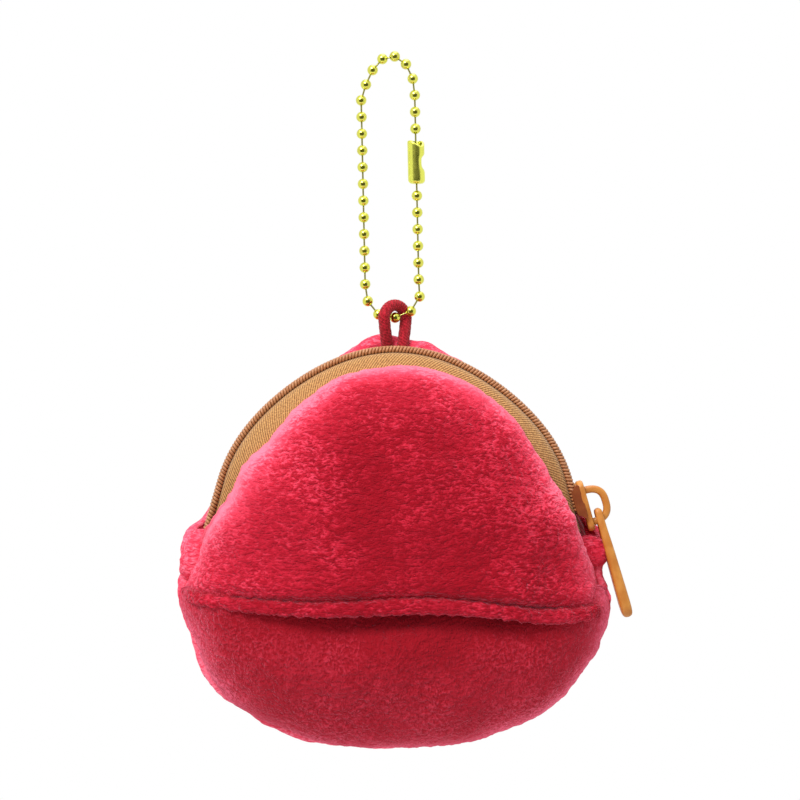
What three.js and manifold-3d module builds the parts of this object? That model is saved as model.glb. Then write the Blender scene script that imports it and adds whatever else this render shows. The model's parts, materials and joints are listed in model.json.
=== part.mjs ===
// A plush coin purse: two padded, domed panels joined by an arched coil zip,
// hung by a cord loop from a closed ball chain.
// Millimetres, +Z up, the front faces -Y. The origin is the hang point, inside the top of the chain.

import * as THREE from 'three';
import { mergeVertices } from 'three/addons/utils/BufferGeometryUtils.js';
import Module from 'manifold-3d';

const wasm = await Module();
wasm.setup();

// Clearance between pieces that touch or run in each other
const GAP = 0.3;

// Ball chain
const BEAD_DIAMETER = 2.4;
const BEAD_PITCH = 3.75;
const LINK_WIRE_DIAMETER = 0.7;
const STRAND_LINKS = 11;
const STRAND_LEAN = 1.25;
const CHAIN_YAW = 6;
const BEAD_SIDES = 8;
const BEAD_RINGS = 6;
const LINK_WIRE_SIDES = 6;

// The chain's bends, each link's slope in degrees from left to right. Over the top, where the chain
// bears on its hook, beads close up by this share of the pitch where a link lies level
const TOP_SLOPES = [73, 65, 48, 11, -35, -65, -83];
const TOP_CLOSING = 0.26;
const BOTTOM_SLOPES = [-88, -58, -18, 15, 52, 86];

// Connector of the chain, a tube on the right strand
const CONNECTOR_LENGTH = 9.65;
const CONNECTOR_DIAMETER = 3.8;
const CONNECTOR_WALL = 0.35;
const CONNECTOR_FROM_TOP = 4;
const CONNECTOR_HALF_SPAN = 2;
const CONNECTOR_WINDOW_LENGTH = 3.5;
const CONNECTOR_WINDOW_DEPTH = 0.8;
const CONNECTOR_MOUTH_DIAMETER = 1.5;
const CONNECTOR_END_DEPTH = 1.1;
const CONNECTOR_SIDES = 16;
const END_BEAD_OFFSET = 3.1;

// Hang loop, a round cord sewn in behind the zip
const LOOP_CORD_DIAMETER = 2.6;
const LOOP_RADIUS = 3.2;
const LOOP_RISE = 9.15;
const LOOP_YAW = 44;
const LOOP_FOOT_SPACING = 3.5;
const LOOP_BEHIND_ZIP = 5.0;
const LOOP_STEPS = 28;
const LOOP_SIDES = 8;

// Zip: an arc with a straight run at each end
const ZIP_RADIUS = 41.1;
const ZIP_END_ANGLE = 16;
const COIL_THICKNESS = 1.8;
const COIL_HALF_WIDTH = 2.1;
const COIL_CHAMFER = 0.45;
const COIL_RUN_LEFT = 11.3;
const COIL_RUN_RIGHT = 7.4;
const TAPE_THICKNESS = 0.5;
const TAPE_FLAT_HALF_WIDTH = 3.2;
const TAPE_BEND = 0.2;
const TAPE_DROP = 2.4;
const TAPE_SKIRT = 1.8;
const ZIP_FLATTENING = 0.95;
const ZIP_STEPS = 26;

// Slider, bridge and pull, in the frame of the zip's straight right run
const SLIDER_START = 0.6;
const SLIDER_LENGTH = 11.5;
const SLIDER_HALF_WIDTH = 3.0;
const SLIDER_NOSE_HALF_WIDTH = 1.65;
const SLIDER_PLATE = 1.2;
const SLIDER_INNER_PLATE = 1.0;
const SLIDER_INNER_HALF_WIDTH = 2.5;
const SLIDER_FLANGE_LENGTH = 7;
const SLIDER_POST_LENGTH = 3;
const SLIDER_POST_HALF_WIDTH = 0.9;
const BRIDGE_START = 1.7;
const BRIDGE_LENGTH = 8.7;
const BRIDGE_RISE = 4.8;
const BRIDGE_BAND = 1.5;
const BRIDGE_FOOT_BAND = 0.8;
const BRIDGE_STEPS = 10;
const BRIDGE_SQUARENESS = 0.7;
const BRIDGE_WIDTH = 2.2;
const PULL_LENGTH = 24.3;
const PULL_HALF_WIDTH = 3.2;
const PULL_NECK_HALF_WIDTH = 2.5;
const PULL_THICKNESS = 2.4;
const PULL_EYE_THICKNESS = 1.2;
const PULL_EYE_LENGTH = 5.4;
const PULL_EYE_CLEARANCE = 0.45;
const PULL_THIN_LENGTH = 7.4;
const PULL_BAR = 1.15;
const PULL_BAR_OUT = 1.6;
const PULL_BAR_ALONG = 5.9;
const PULL_CLEARANCE = 1.45;

// Padded panels
const FRONT_INSET = 4.6;
const BACK_INSET = 0.5;
const SHOULDER_OUT = 1.5;
const BACK_SHOULDER_OUT = 3.8;
const BACK_FLANK_OUT = 5.5;
const BACK_CROWN_RISE = 2.4;
const BACK_CROWN_SPREAD = 26;
const BACK_CROWN_LEAN = 1.1;
const WIDEST_OUT = 6.3;
const FRONT_DOME_RADIUS = ZIP_RADIUS - FRONT_INSET;
const BACK_DOME_RADIUS = ZIP_RADIUS - BACK_INSET;
const SHOULDER_X = ZIP_RADIUS + SHOULDER_OUT;
const SHOULDER_Z = -1;
const WIDEST_X = ZIP_RADIUS + WIDEST_OUT;
const WIDEST_Z = -13.4;
const LOWER_DROP = 34.7;
const LOWER_FULLNESS = 2.35;
const LOWER_SWELL = 2.2;
const LOWER_SWELL_FROM = -19;
const LOWER_SWELL_TO = -30;
const FRONT_DEPTH = 20;
const BACK_DEPTH = 27;
const PANEL_CENTRE_Z = -8;
const ZIP_HALF_OPENING = 6.5;
const OPENING_FADE_FOOT = -8;
const OPENING_FADE_TOP = 4;
const TAPE_NARROWS_ABOVE = 5;
const PLUSH_THICKNESS = 2.2;
const WADDING_THICKNESS = 3.5;
const LINING_THICKNESS = 0.6;
const PILLOW_POWER = 2.4;
const OUTLINE_SIDES = 36;
const PANEL_RINGS = 5;

// Front panel's fold and its folded, stitched hem
const HEM_TOP_Z = -14.5;
const HEM_HEIGHT = 4.8;
const HEM_STAND = 1;
const TUCK_HEIGHT = 3.5;

// Tabs that close the ends of the zip
const TAB_HALF_THICKNESS = 2.7;
const TAB_HALF_WIDTH = 3.6;
const TAB_HALF_HEIGHT = 6;
const TAB_CENTRE_X = SHOULDER_X + 0.1;
const TAB_CENTRE_Z = -7.2;
const TAB_SIDES = 14;
const TAB_RINGS = 8;

// Finishes
const PLUSH_COLOUR = 0xd8284a;
const WADDING_COLOUR = 0xf2efe8;
const LINING_COLOUR = 0xb52845;
const CORD_COLOUR = 0xa5143a;
const TAPE_COLOUR = 0xc8964f;
const COIL_COLOUR = 0xa46a38;
const SLIDER_COLOUR = 0xcb8430;
const CHAIN_COLOUR = 0xc8b93c;

const radians = THREE.MathUtils.degToRad;
const beadRadius = BEAD_DIAMETER / 2;
const cordRadius = LOOP_CORD_DIAMETER / 2;

// Solids for joining and cutting

function solidOf(geometry) {
  const bare = geometry.clone();
  bare.deleteAttribute('normal');
  bare.deleteAttribute('uv');
  const merged = mergeVertices(bare, 1e-4);
  return new wasm.Manifold(new wasm.Mesh({
    numProp: 3,
    vertProperties: new Float32Array(merged.attributes.position.array),
    triVerts: new Uint32Array(merged.index.array),
  }));
}

function geometryOf(solid) {
  const mesh = solid.getMesh();
  const geometry = new THREE.BufferGeometry();
  geometry.setAttribute('position', new THREE.BufferAttribute(new Float32Array(mesh.vertProperties), 3));
  geometry.setIndex(new THREE.BufferAttribute(new Uint32Array(mesh.triVerts), 1));
  geometry.computeVertexNormals();
  return geometry;
}

function largestPiece(solid) {
  const pieces = solid.decompose();
  return pieces.reduce((best, piece) => (piece.volume() > best.volume() ? piece : best));
}

// A block between two corners
function block(low, high) {
  const size = high.map((value, axis) => value - low[axis]);
  const middle = high.map((value, axis) => (value + low[axis]) / 2);
  return solidOf(new THREE.BoxGeometry(...size).translate(...middle));
}

// A slab that reaches across the whole purse, between two heights
function slab(lowZ, highZ) {
  const reach = 2 * WIDEST_X;
  return block([-reach, -reach, lowZ], [reach, reach, highZ]);
}

function turnedOut(geometry) {
  const index = geometry.index.array;
  const position = geometry.attributes.position;
  const [a, b, c] = [new THREE.Vector3(), new THREE.Vector3(), new THREE.Vector3()];
  let volume = 0;
  for (let i = 0; i < index.length; i += 3) {
    a.fromBufferAttribute(position, index[i]);
    b.fromBufferAttribute(position, index[i + 1]);
    c.fromBufferAttribute(position, index[i + 2]);
    volume += a.dot(b.cross(c));
  }
  if (volume < 0) {
    for (let i = 0; i < index.length; i += 3) [index[i], index[i + 1]] = [index[i + 1], index[i]];
  }
  geometry.computeVertexNormals();
  return geometry;
}

// Finishes and named meshes

function finish(color, roughness, metalness = 0) {
  return new THREE.MeshStandardMaterial({ color, roughness, metalness });
}

const finishes = {
  plush: finish(PLUSH_COLOUR, 0.95),
  wadding: finish(WADDING_COLOUR, 1),
  lining: finish(LINING_COLOUR, 0.8),
  cord: finish(CORD_COLOUR, 0.85),
  tape: finish(TAPE_COLOUR, 0.85),
  coil: finish(COIL_COLOUR, 0.45),
  slider: finish(SLIDER_COLOUR, 0.4),
  chain: finish(CHAIN_COLOUR, 0.3, 1),
};

function piece(name, geometry, material) {
  const mesh = new THREE.Mesh(geometry, material);
  mesh.name = name;
  return mesh;
}

// Ball chain

// Bead centres of a bend as [along, up] from its left end
function bendBeads(slopes, closing) {
  const beads = [[0, 0]];
  for (const slope of slopes.map(radians)) {
    const [along, up] = beads.at(-1);
    const length = BEAD_PITCH * (1 - closing * Math.cos(slope) ** 2);
    beads.push([along + length * Math.cos(slope), up + length * Math.sin(slope)]);
  }
  return beads;
}

// The same places measured from the middle between the bend's two ends
function centred(beads) {
  const [endAlong, endUp] = beads.at(-1);
  return beads.map(([along, up]) => [along - endAlong / 2, up - endUp / 2]);
}

// A bend turned and scaled a little, so that its ends lie as far apart as those of another
function fitted(beads, [spacing, stagger]) {
  const [endAlong, endUp] = beads.at(-1);
  const square = endAlong ** 2 + endUp ** 2;
  const straight = (endAlong * spacing + endUp * stagger) / square;
  const across = (endAlong * stagger - endUp * spacing) / square;
  return beads.map(([along, up]) => [along * straight - up * across, along * across + up * straight]);
}

const topBend = bendBeads(TOP_SLOPES, TOP_CLOSING);
const [strandSpacing, strandStagger] = topBend.at(-1);
const topArc = centred(topBend);
const bottomArc = centred(fitted(bendBeads(BOTTOM_SLOPES, 0), topBend.at(-1)));
const topPivotZ = beadRadius - Math.max(...topArc.map(([, up]) => up));

// A place on the left strand (-1), the right strand (1) or midway (0), some links below its upper end
function strandPlace(side, links) {
  const length = links * BEAD_PITCH;
  const along = (side * strandSpacing) / 2 + length * Math.sin(radians(STRAND_LEAN));
  return [along, topPivotZ + (side * strandStagger) / 2 - length * Math.cos(radians(STRAND_LEAN))];
}

const bottomMiddle = strandPlace(0, STRAND_LINKS);

// The chain as one run from its upper end bead, over the top and round the bottom, to its lower end bead
function chainRun() {
  const endLinks = END_BEAD_OFFSET / BEAD_PITCH;
  const lastLink = CONNECTOR_FROM_TOP - CONNECTOR_HALF_SPAN;
  const run = [strandPlace(1, CONNECTOR_FROM_TOP - endLinks)];
  for (let link = lastLink; link > 0; link -= 1) run.push(strandPlace(1, link));
  for (const [along, up] of [...topArc].reverse()) run.push([along, topPivotZ + up]);
  for (let link = 1; link < STRAND_LINKS; link += 1) run.push(strandPlace(-1, link));
  for (const [along, up] of bottomArc) run.push([bottomMiddle[0] + along, bottomMiddle[1] + up]);
  const firstLink = CONNECTOR_FROM_TOP + CONNECTOR_HALF_SPAN;
  for (let link = STRAND_LINKS - 1; link >= firstLink; link -= 1) run.push(strandPlace(1, link));
  run.push(strandPlace(1, CONNECTOR_FROM_TOP + endLinks));
  return run.map(([along, z]) => new THREE.Vector3(along, 0, z));
}

const beadCentres = chainRun();
const lowestBead = beadCentres.reduce((lowest, bead) => (bead.z < lowest.z ? bead : lowest));

// A bead with the link wire that runs from it towards the lowest bead, along +Z
function beadGeometry(distance) {
  const bead = new THREE.SphereGeometry(beadRadius, BEAD_SIDES, BEAD_RINGS).rotateX(Math.PI / 2);
  if (distance === 0) return geometryOf(solidOf(bead));
  const wireLength = distance - beadRadius - GAP;
  const wireRadius = LINK_WIRE_DIAMETER / 2;
  const wire = new THREE.CylinderGeometry(wireRadius, wireRadius, wireLength, LINK_WIRE_SIDES);
  wire.rotateX(Math.PI / 2).translate(0, 0, wireLength / 2);
  return geometryOf(solidOf(bead).add(solidOf(wire)));
}

function ballChain() {
  const chain = new THREE.Group();
  chain.rotation.z = -radians(CHAIN_YAW);
  const lowest = beadCentres.indexOf(lowestBead);
  beadCentres.forEach((centre, order) => {
    const towards = beadCentres[order + Math.sign(lowest - order)];
    const direction = towards.clone().sub(centre);
    const geometry = beadGeometry(direction.length());
    const bead = piece(`bead_${String(order + 1).padStart(2, '0')}`, geometry, finishes.chain);
    bead.position.copy(centre);
    if (order !== lowest) {
      bead.quaternion.setFromUnitVectors(new THREE.Vector3(0, 0, 1), direction.normalize());
    }
    chain.add(bead);
  });
  const connector = piece('chain_connector', connectorGeometry(), finishes.chain);
  const [connectorAlong, connectorZ] = strandPlace(1, CONNECTOR_FROM_TOP);
  connector.position.set(connectorAlong, 0, connectorZ);
  connector.rotation.y = -radians(STRAND_LEAN);
  chain.add(connector);
  return chain;
}

// A thin tube with rounded, narrowed ends and a window in its side
function connectorGeometry() {
  const outer = CONNECTOR_DIAMETER / 2;
  const inner = outer - CONNECTOR_WALL;
  const mouth = CONNECTOR_MOUTH_DIAMETER / 2;
  const half = CONNECTOR_LENGTH / 2;
  const wall = CONNECTOR_WALL;
  const shoulder = half - CONNECTOR_END_DEPTH;
  const [wide, narrow] = [(3 * outer + mouth) / 4, (3 * inner + mouth) / 4];
  const upper = [[mouth, half], [wide, half - wall / 2], [outer, shoulder]];
  const lower = upper.map(([radius, height]) => [radius, -height]).reverse();
  const upperInside = [[mouth, half - wall], [narrow, half - 3 * wall / 2], [inner, shoulder]];
  const lowerInside = upperInside.map(([radius, height]) => [radius, -height]);
  const profile = [...upper, ...lower, ...lowerInside, ...upperInside.reverse()].reverse();
  profile.push(profile[0]);
  const points = profile.map(([radius, height]) => new THREE.Vector2(radius, height));
  const tube = new THREE.LatheGeometry(points, CONNECTOR_SIDES).rotateX(Math.PI / 2);
  const window = block(
    [outer - CONNECTOR_WINDOW_DEPTH, -outer, -CONNECTOR_WINDOW_LENGTH / 2],
    [2 * outer, outer, CONNECTOR_WINDOW_LENGTH / 2],
  );
  return geometryOf(solidOf(tube).subtract(window));
}

// Everything below is placed from the centre of the zip's arc, which hangs under the lowest bead
const loopCrownZ = lowestBead.z + beadRadius + GAP + cordRadius;
const zipCentreZ = loopCrownZ - LOOP_RISE - ZIP_RADIUS;

// Hang loop

function hangLoop() {
  const crown = loopCrownZ - zipCentreZ;
  const arcCentre = crown - LOOP_RADIUS;
  const foot = ZIP_RADIUS - COIL_THICKNESS + GAP;
  const yaw = radians(LOOP_YAW);
  const y = LOOP_BEHIND_ZIP;
  const arm = (angle) => {
    const across = LOOP_RADIUS * Math.cos(radians(angle));
    const up = LOOP_RADIUS * Math.sin(radians(angle));
    return new THREE.Vector3(across * Math.cos(yaw), y + across * Math.sin(yaw), arcCentre + up);
  };
  const half = LOOP_FOOT_SPACING / 2;
  const route = new THREE.CatmullRomCurve3([
    new THREE.Vector3(-half, y, foot), new THREE.Vector3(-half, y, foot + cordRadius),
    ...[180, 150, 120, 90, 60, 30, 0].map(arm),
    new THREE.Vector3(half, y, foot + cordRadius), new THREE.Vector3(half, y, foot),
  ], false, 'centripetal');
  const section = new THREE.Shape();
  for (let side = 0; side < LOOP_SIDES; side += 1) {
    const angle = (side / LOOP_SIDES) * 2 * Math.PI;
    const [u, v] = [cordRadius * Math.cos(angle), cordRadius * Math.sin(angle)];
    if (side === 0) section.moveTo(u, v);
    else section.lineTo(u, v);
  }
  const cord = new THREE.ExtrudeGeometry(section, { steps: LOOP_STEPS, extrudePath: route });
  return piece('hang_loop', geometryOf(solidOf(cord)), finishes.cord);
}

// Zip

// How far a panel's rim stands from the middle of the purse, at a height; the crown leans back
// from the hang loop
function rimStand(z) {
  const opened = THREE.MathUtils.smoothstep(z, OPENING_FADE_FOOT, OPENING_FADE_TOP);
  const crown = THREE.MathUtils.smoothstep(z, FRONT_DOME_RADIUS, BACK_DOME_RADIUS + BACK_CROWN_RISE);
  return GAP / 2 + (ZIP_HALF_OPENING - GAP / 2) * opened + BACK_CROWN_LEAN * crown;
}

// How far the flanks of the arc lie inside a true circle, most at a quarter of the way along
function flattening(angle) {
  const share = (angle - ZIP_END_ANGLE) / (180 - 2 * ZIP_END_ANGLE);
  return ZIP_FLATTENING * Math.sin(2 * Math.PI * THREE.MathUtils.clamp(share, 0, 1)) ** 2;
}

// Places along the zip from its left end to its right, each with its outward direction
function zipPath(leftRun, rightRun) {
  const path = [];
  const place = (angle, run) => {
    const [cos, sin] = [Math.cos(radians(angle)), Math.sin(radians(angle))];
    const along = angle > 90 ? -run : run;
    const inward = flattening(angle);
    path.push({ cos, sin, x: sin * along - cos * inward, z: -cos * along - sin * inward });
  };
  place(180 - ZIP_END_ANGLE, leftRun);
  for (let step = 0; step <= ZIP_STEPS; step += 1) {
    const share = step / ZIP_STEPS;
    place(180 - ZIP_END_ANGLE - share * (180 - 2 * ZIP_END_ANGLE), 0);
  }
  place(ZIP_END_ANGLE, rightRun);
  return path;
}

// A strip along the zip, from a section of [outward, y] points that may vary with height
function zipStrip(path, sectionAt) {
  const rings = path.map((spot) => {
    const height = spot.z + ZIP_RADIUS * spot.sin;
    return sectionAt(height).map(([out, y]) => [out * spot.cos + spot.x, y, out * spot.sin + spot.z]);
  });
  return stripGeometry(rings, sectionAt(ZIP_RADIUS));
}

function stripGeometry(rings, section) {
  const count = section.length;
  const last = rings.length - 1;
  const index = [];
  for (let ring = 0; ring < last; ring += 1) {
    for (let side = 0; side < count; side += 1) {
      const a = ring * count + side;
      const b = ring * count + (side + 1) % count;
      index.push(a, b, b + count, a, b + count, a + count);
    }
  }
  const flat = section.map(([u, v]) => new THREE.Vector2(u, v));
  const faces = THREE.ShapeUtils.triangulateShape(flat, []);
  const withSides = THREE.ShapeUtils.isClockWise(faces[0].map((corner) => flat[corner]))
    === THREE.ShapeUtils.isClockWise(flat);
  for (const face of faces) {
    const [a, b, c] = withSides ? face : [...face].reverse();
    index.push(c, b, a, last * count + a, last * count + b, last * count + c);
  }
  const geometry = new THREE.BufferGeometry();
  geometry.setAttribute('position', new THREE.Float32BufferAttribute(rings.flat(2), 3));
  geometry.setIndex(index);
  return turnedOut(geometry);
}

function coil(name, side) {
  const inner = ZIP_RADIUS - COIL_THICKNESS;
  const section = [
    [inner, side * GAP / 2], [ZIP_RADIUS, side * GAP / 2],
    [ZIP_RADIUS, side * (COIL_HALF_WIDTH - COIL_CHAMFER)],
    [inner + COIL_CHAMFER, side * COIL_HALF_WIDTH], [inner, side * COIL_HALF_WIDTH],
  ];
  const strip = zipStrip(zipPath(COIL_RUN_LEFT, COIL_RUN_RIGHT), () => section);
  return piece(name, strip, finishes.coil);
}

function tape(name, side) {
  const top = ZIP_RADIUS - COIL_THICKNESS - GAP;
  const sectionAt = (z) => {
    const outside = rimStand(z - TAPE_NARROWS_ABOVE) - GAP;
    const inside = outside - TAPE_THICKNESS;
    const flat = Math.min(TAPE_FLAT_HALF_WIDTH, inside - TAPE_BEND);
    return [
      [top, GAP / 2], [top, flat], [top - TAPE_DROP, outside], [top - TAPE_DROP - TAPE_SKIRT, outside],
      [top - TAPE_DROP - TAPE_SKIRT, inside], [top - TAPE_DROP - TAPE_THICKNESS / 2, inside],
      [top - TAPE_THICKNESS, flat - TAPE_THICKNESS / 2], [top - TAPE_THICKNESS, GAP / 2],
    ].map(([out, y]) => [out, side * y]);
  };
  const strip = zipStrip(zipPath(COIL_RUN_LEFT, COIL_RUN_RIGHT), sectionAt);
  return piece(name, strip, finishes.tape);
}

// Slider, bridge and pull. Here X points out of the purse and -Z runs along the zip to its end.

const sliderInnerTop = ZIP_RADIUS - COIL_THICKNESS - GAP - TAPE_THICKNESS - GAP;
const sliderPlateIn = ZIP_RADIUS + GAP;
const sliderPlateOut = sliderPlateIn + SLIDER_PLATE;
const sliderEnd = -(SLIDER_START + SLIDER_LENGTH);

function sliderBody() {
  const plateShape = new THREE.Shape();
  const nose = SLIDER_NOSE_HALF_WIDTH;
  const cut = SLIDER_HALF_WIDTH - nose;
  plateShape.moveTo(-SLIDER_HALF_WIDTH, -SLIDER_START - cut / 2);
  plateShape.lineTo(-nose, -SLIDER_START);
  plateShape.lineTo(nose, -SLIDER_START);
  plateShape.lineTo(SLIDER_HALF_WIDTH, -SLIDER_START - cut / 2);
  plateShape.lineTo(SLIDER_HALF_WIDTH, sliderEnd + cut);
  plateShape.lineTo(nose, sliderEnd);
  plateShape.lineTo(-nose, sliderEnd);
  plateShape.lineTo(-SLIDER_HALF_WIDTH, sliderEnd + cut);
  const plate = new THREE.ExtrudeGeometry(plateShape, { depth: SLIDER_PLATE, bevelEnabled: false });
  plate.rotateX(Math.PI / 2).rotateZ(Math.PI / 2).translate(sliderPlateIn, 0, 0);
  const flangeTop = -SLIDER_START - cut;
  const flangeIn = ZIP_RADIUS - COIL_THICKNESS;
  const flange = (side) => {
    const sides = [side * (COIL_HALF_WIDTH + GAP), side * SLIDER_HALF_WIDTH].sort((a, b) => a - b);
    return block(
      [flangeIn, sides[0], flangeTop - SLIDER_FLANGE_LENGTH],
      [sliderPlateIn + SLIDER_PLATE / 2, sides[1], flangeTop],
    );
  };
  const inner = block(
    [sliderInnerTop - SLIDER_INNER_PLATE, -SLIDER_INNER_HALF_WIDTH, sliderEnd],
    [sliderInnerTop, SLIDER_INNER_HALF_WIDTH, -SLIDER_START],
  );
  const postTop = -COIL_RUN_RIGHT - GAP;
  const post = block(
    [sliderInnerTop - SLIDER_INNER_PLATE / 2, -SLIDER_POST_HALF_WIDTH, postTop - SLIDER_POST_LENGTH],
    [sliderPlateIn + SLIDER_PLATE / 2, SLIDER_POST_HALF_WIDTH, postTop],
  );
  const body = solidOf(plate).add(flange(-1)).add(flange(1)).add(inner).add(post);
  return piece('slider_body', geometryOf(body), finishes.slider);
}

// A D-shaped ring that stands on the slider's outer plate
function sliderBridge() {
  const foot = sliderPlateOut + GAP;
  const start = -SLIDER_START - BRIDGE_START;
  const end = start - BRIDGE_LENGTH;
  const middle = (start + end) / 2;
  const arch = (inset) => {
    const half = BRIDGE_LENGTH / 2 - inset;
    const rise = BRIDGE_RISE - inset;
    const points = [];
    for (let step = 0; step <= BRIDGE_STEPS; step += 1) {
      const angle = (step / BRIDGE_STEPS) * Math.PI;
      const shape = Math.sin(angle) ** BRIDGE_SQUARENESS;
      points.push(new THREE.Vector2(foot + rise * shape, middle - half * Math.cos(angle)));
    }
    return points;
  };
  const outer = arch(0);
  const lowestHole = foot + BRIDGE_FOOT_BAND;
  const inner = arch(BRIDGE_BAND).map((point) => new THREE.Vector2(Math.max(point.x, lowestHole), point.y));
  const ring = new THREE.Shape(outer);
  ring.holes.push(new THREE.Path(inner));
  const band = new THREE.ExtrudeGeometry(ring, { depth: BRIDGE_WIDTH, bevelEnabled: false });
  band.rotateX(Math.PI / 2).translate(0, BRIDGE_WIDTH / 2, 0);
  return piece('slider_bridge', geometryOf(solidOf(band)), finishes.slider);
}

// The pull hangs down from its bar, along -Z
function pullTab() {
  const outline = new THREE.Shape();
  const half = PULL_HALF_WIDTH;
  const bar = PULL_BAR / 2;
  const neck = PULL_NECK_HALF_WIDTH;
  outline.moveTo(-neck, bar);
  outline.lineTo(neck, bar);
  outline.lineTo(half, -PULL_EYE_LENGTH - half);
  outline.lineTo(half, half - PULL_LENGTH);
  outline.absarc(0, half - PULL_LENGTH, half, 0, -Math.PI, true);
  outline.lineTo(-half, -PULL_EYE_LENGTH - half);
  const eye = BRIDGE_WIDTH / 2 + PULL_EYE_CLEARANCE;
  outline.holes.push(new THREE.Path([
    new THREE.Vector2(-eye, -bar), new THREE.Vector2(-eye, -PULL_EYE_LENGTH),
    new THREE.Vector2(eye, -PULL_EYE_LENGTH), new THREE.Vector2(eye, -bar),
  ]));
  const plate = new THREE.ExtrudeGeometry(outline, {
    depth: PULL_THICKNESS, bevelEnabled: false, curveSegments: 10,
  });
  plate.rotateX(Math.PI / 2).rotateZ(Math.PI / 2).translate(-PULL_THICKNESS / 2, 0, 0);
  const thin = (PULL_THICKNESS - PULL_EYE_THICKNESS) / 2;
  const shave = (side) => {
    const [low, high] = side > 0
      ? [PULL_THICKNESS / 2 - thin, PULL_THICKNESS] : [-PULL_THICKNESS, thin - PULL_THICKNESS / 2];
    return block([low, -2 * half, -PULL_THIN_LENGTH], [high, 2 * half, 2 * PULL_BAR]);
  };
  const tab = solidOf(plate).subtract(shave(1)).subtract(shave(-1));
  return piece('pull_tab', geometryOf(tab), finishes.slider);
}

function sliderAssembly() {
  const slider = new THREE.Group();
  slider.rotation.y = -radians(ZIP_END_ANGLE);
  slider.add(sliderBody(), sliderBridge());
  const pull = pullTab();
  const end = radians(ZIP_END_ANGLE);
  const [out, along] = [sliderPlateOut + GAP + PULL_BAR_OUT, SLIDER_START + BRIDGE_START + PULL_BAR_ALONG];
  const besideX = out * Math.cos(end) + along * Math.sin(end) - WIDEST_X;
  const aboveZ = out * Math.sin(end) - along * Math.cos(end) - WIDEST_Z;
  const clear = PULL_THICKNESS / 2 + PULL_CLEARANCE;
  const lean = Math.atan2(aboveZ, besideX) - Math.acos(clear / Math.hypot(besideX, aboveZ));
  pull.position.set(out, 0, -along);
  pull.rotation.y = end - lean;
  slider.add(pull);
  return slider;
}

// Padded panels

// Outline of a panel, seen from the front, as points [x, z] all round; the crown is where the
// plush rises above its arc round the hang loop
function panelOutline(domeRadius, shoulderX, flankX, crownRise) {
  const half = [];
  for (const angle of [90, 76, 62, 48, 34, 22]) {
    const crown = crownRise * THREE.MathUtils.smoothstep(angle, 90 - BACK_CROWN_SPREAD, 90);
    const radius = domeRadius - flattening(angle) + crown;
    half.push([radius * Math.cos(radians(angle)), radius * Math.sin(radians(angle))]);
  }
  half.push([shoulderX, SHOULDER_Z], [flankX, (SHOULDER_Z + WIDEST_Z) / 2]);
  for (const angle of [0, 16, 32, 48, 64, 78, 90]) {
    const [cos, sin] = [Math.cos(radians(angle)), Math.sin(radians(angle))];
    const power = 2 / LOWER_FULLNESS;
    half.push([WIDEST_X * cos ** power, WIDEST_Z - LOWER_DROP * sin ** power]);
  }
  const right = new THREE.SplineCurve(half.map(([x, z]) => new THREE.Vector2(x, z)));
  const spaced = right.getSpacedPoints(OUTLINE_SIDES / 2).map((point) => [point.x, point.y]);
  spaced[0][0] = 0;
  spaced[spaced.length - 1][0] = 0;
  const left = spaced.slice(1, -1).reverse().map(([x, z]) => [-x, z]);
  return [...spaced, ...left];
}

// One layer of a padded panel, between two insets from the panel's outer face
function paddedLayer(panel, faceInset, backInset, lift = 0) {
  const position = [];
  const surface = (inset) => {
    const middle = panel.depth - inset;
    position.push([0, panel.side * middle, PANEL_CENTRE_Z]);
    for (let ring = 1; ring <= PANEL_RINGS; ring += 1) {
      const share = Math.sin((ring / PANEL_RINGS) * Math.PI / 2);
      const pillow = Math.sqrt(Math.max(0, 1 - share ** PILLOW_POWER));
      for (const [x, z] of panel.outline) {
        const reach = Math.hypot(x, z - PANEL_CENTRE_Z);
        const rimScale = (reach - inset) / reach;
        const scale = share * rimScale;
        const height = PANEL_CENTRE_Z + (z - PANEL_CENTRE_Z) * scale;
        const swell = THREE.MathUtils.smoothstep(-height, -LOWER_SWELL_FROM, -LOWER_SWELL_TO);
        const depth = middle + panel.swell * swell;
        const stand = rimStand(PANEL_CENTRE_Z + (z - PANEL_CENTRE_Z) * rimScale) - lift;
        const y = panel.side * (stand + (depth - stand) * pillow);
        position.push([x * scale, y, height]);
      }
    }
  };
  surface(faceInset);
  surface(backInset);
  const count = panel.outline.length;
  const perFace = 1 + PANEL_RINGS * count;
  const index = [];
  for (let side = 0; side < count; side += 1) {
    const next = (side + 1) % count;
    index.push(0, 1 + side, 1 + next);
    index.push(perFace, perFace + 1 + next, perFace + 1 + side);
    for (let ring = 0; ring < PANEL_RINGS - 1; ring += 1) {
      const a = 1 + ring * count + side;
      const b = 1 + ring * count + next;
      index.push(a, a + count, b + count, a, b + count, b);
      const [c, d] = [a + perFace, b + perFace];
      index.push(c, d + count, c + count, c, d, d + count);
    }
    const rim = 1 + (PANEL_RINGS - 1) * count;
    const [a, b] = [rim + side, rim + next];
    index.push(a, a + perFace, b + perFace, a, b + perFace, b);
  }
  const geometry = new THREE.BufferGeometry();
  geometry.setAttribute('position', new THREE.Float32BufferAttribute(position.flat(), 3));
  geometry.setIndex(index);
  return solidOf(turnedOut(geometry));
}

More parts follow.
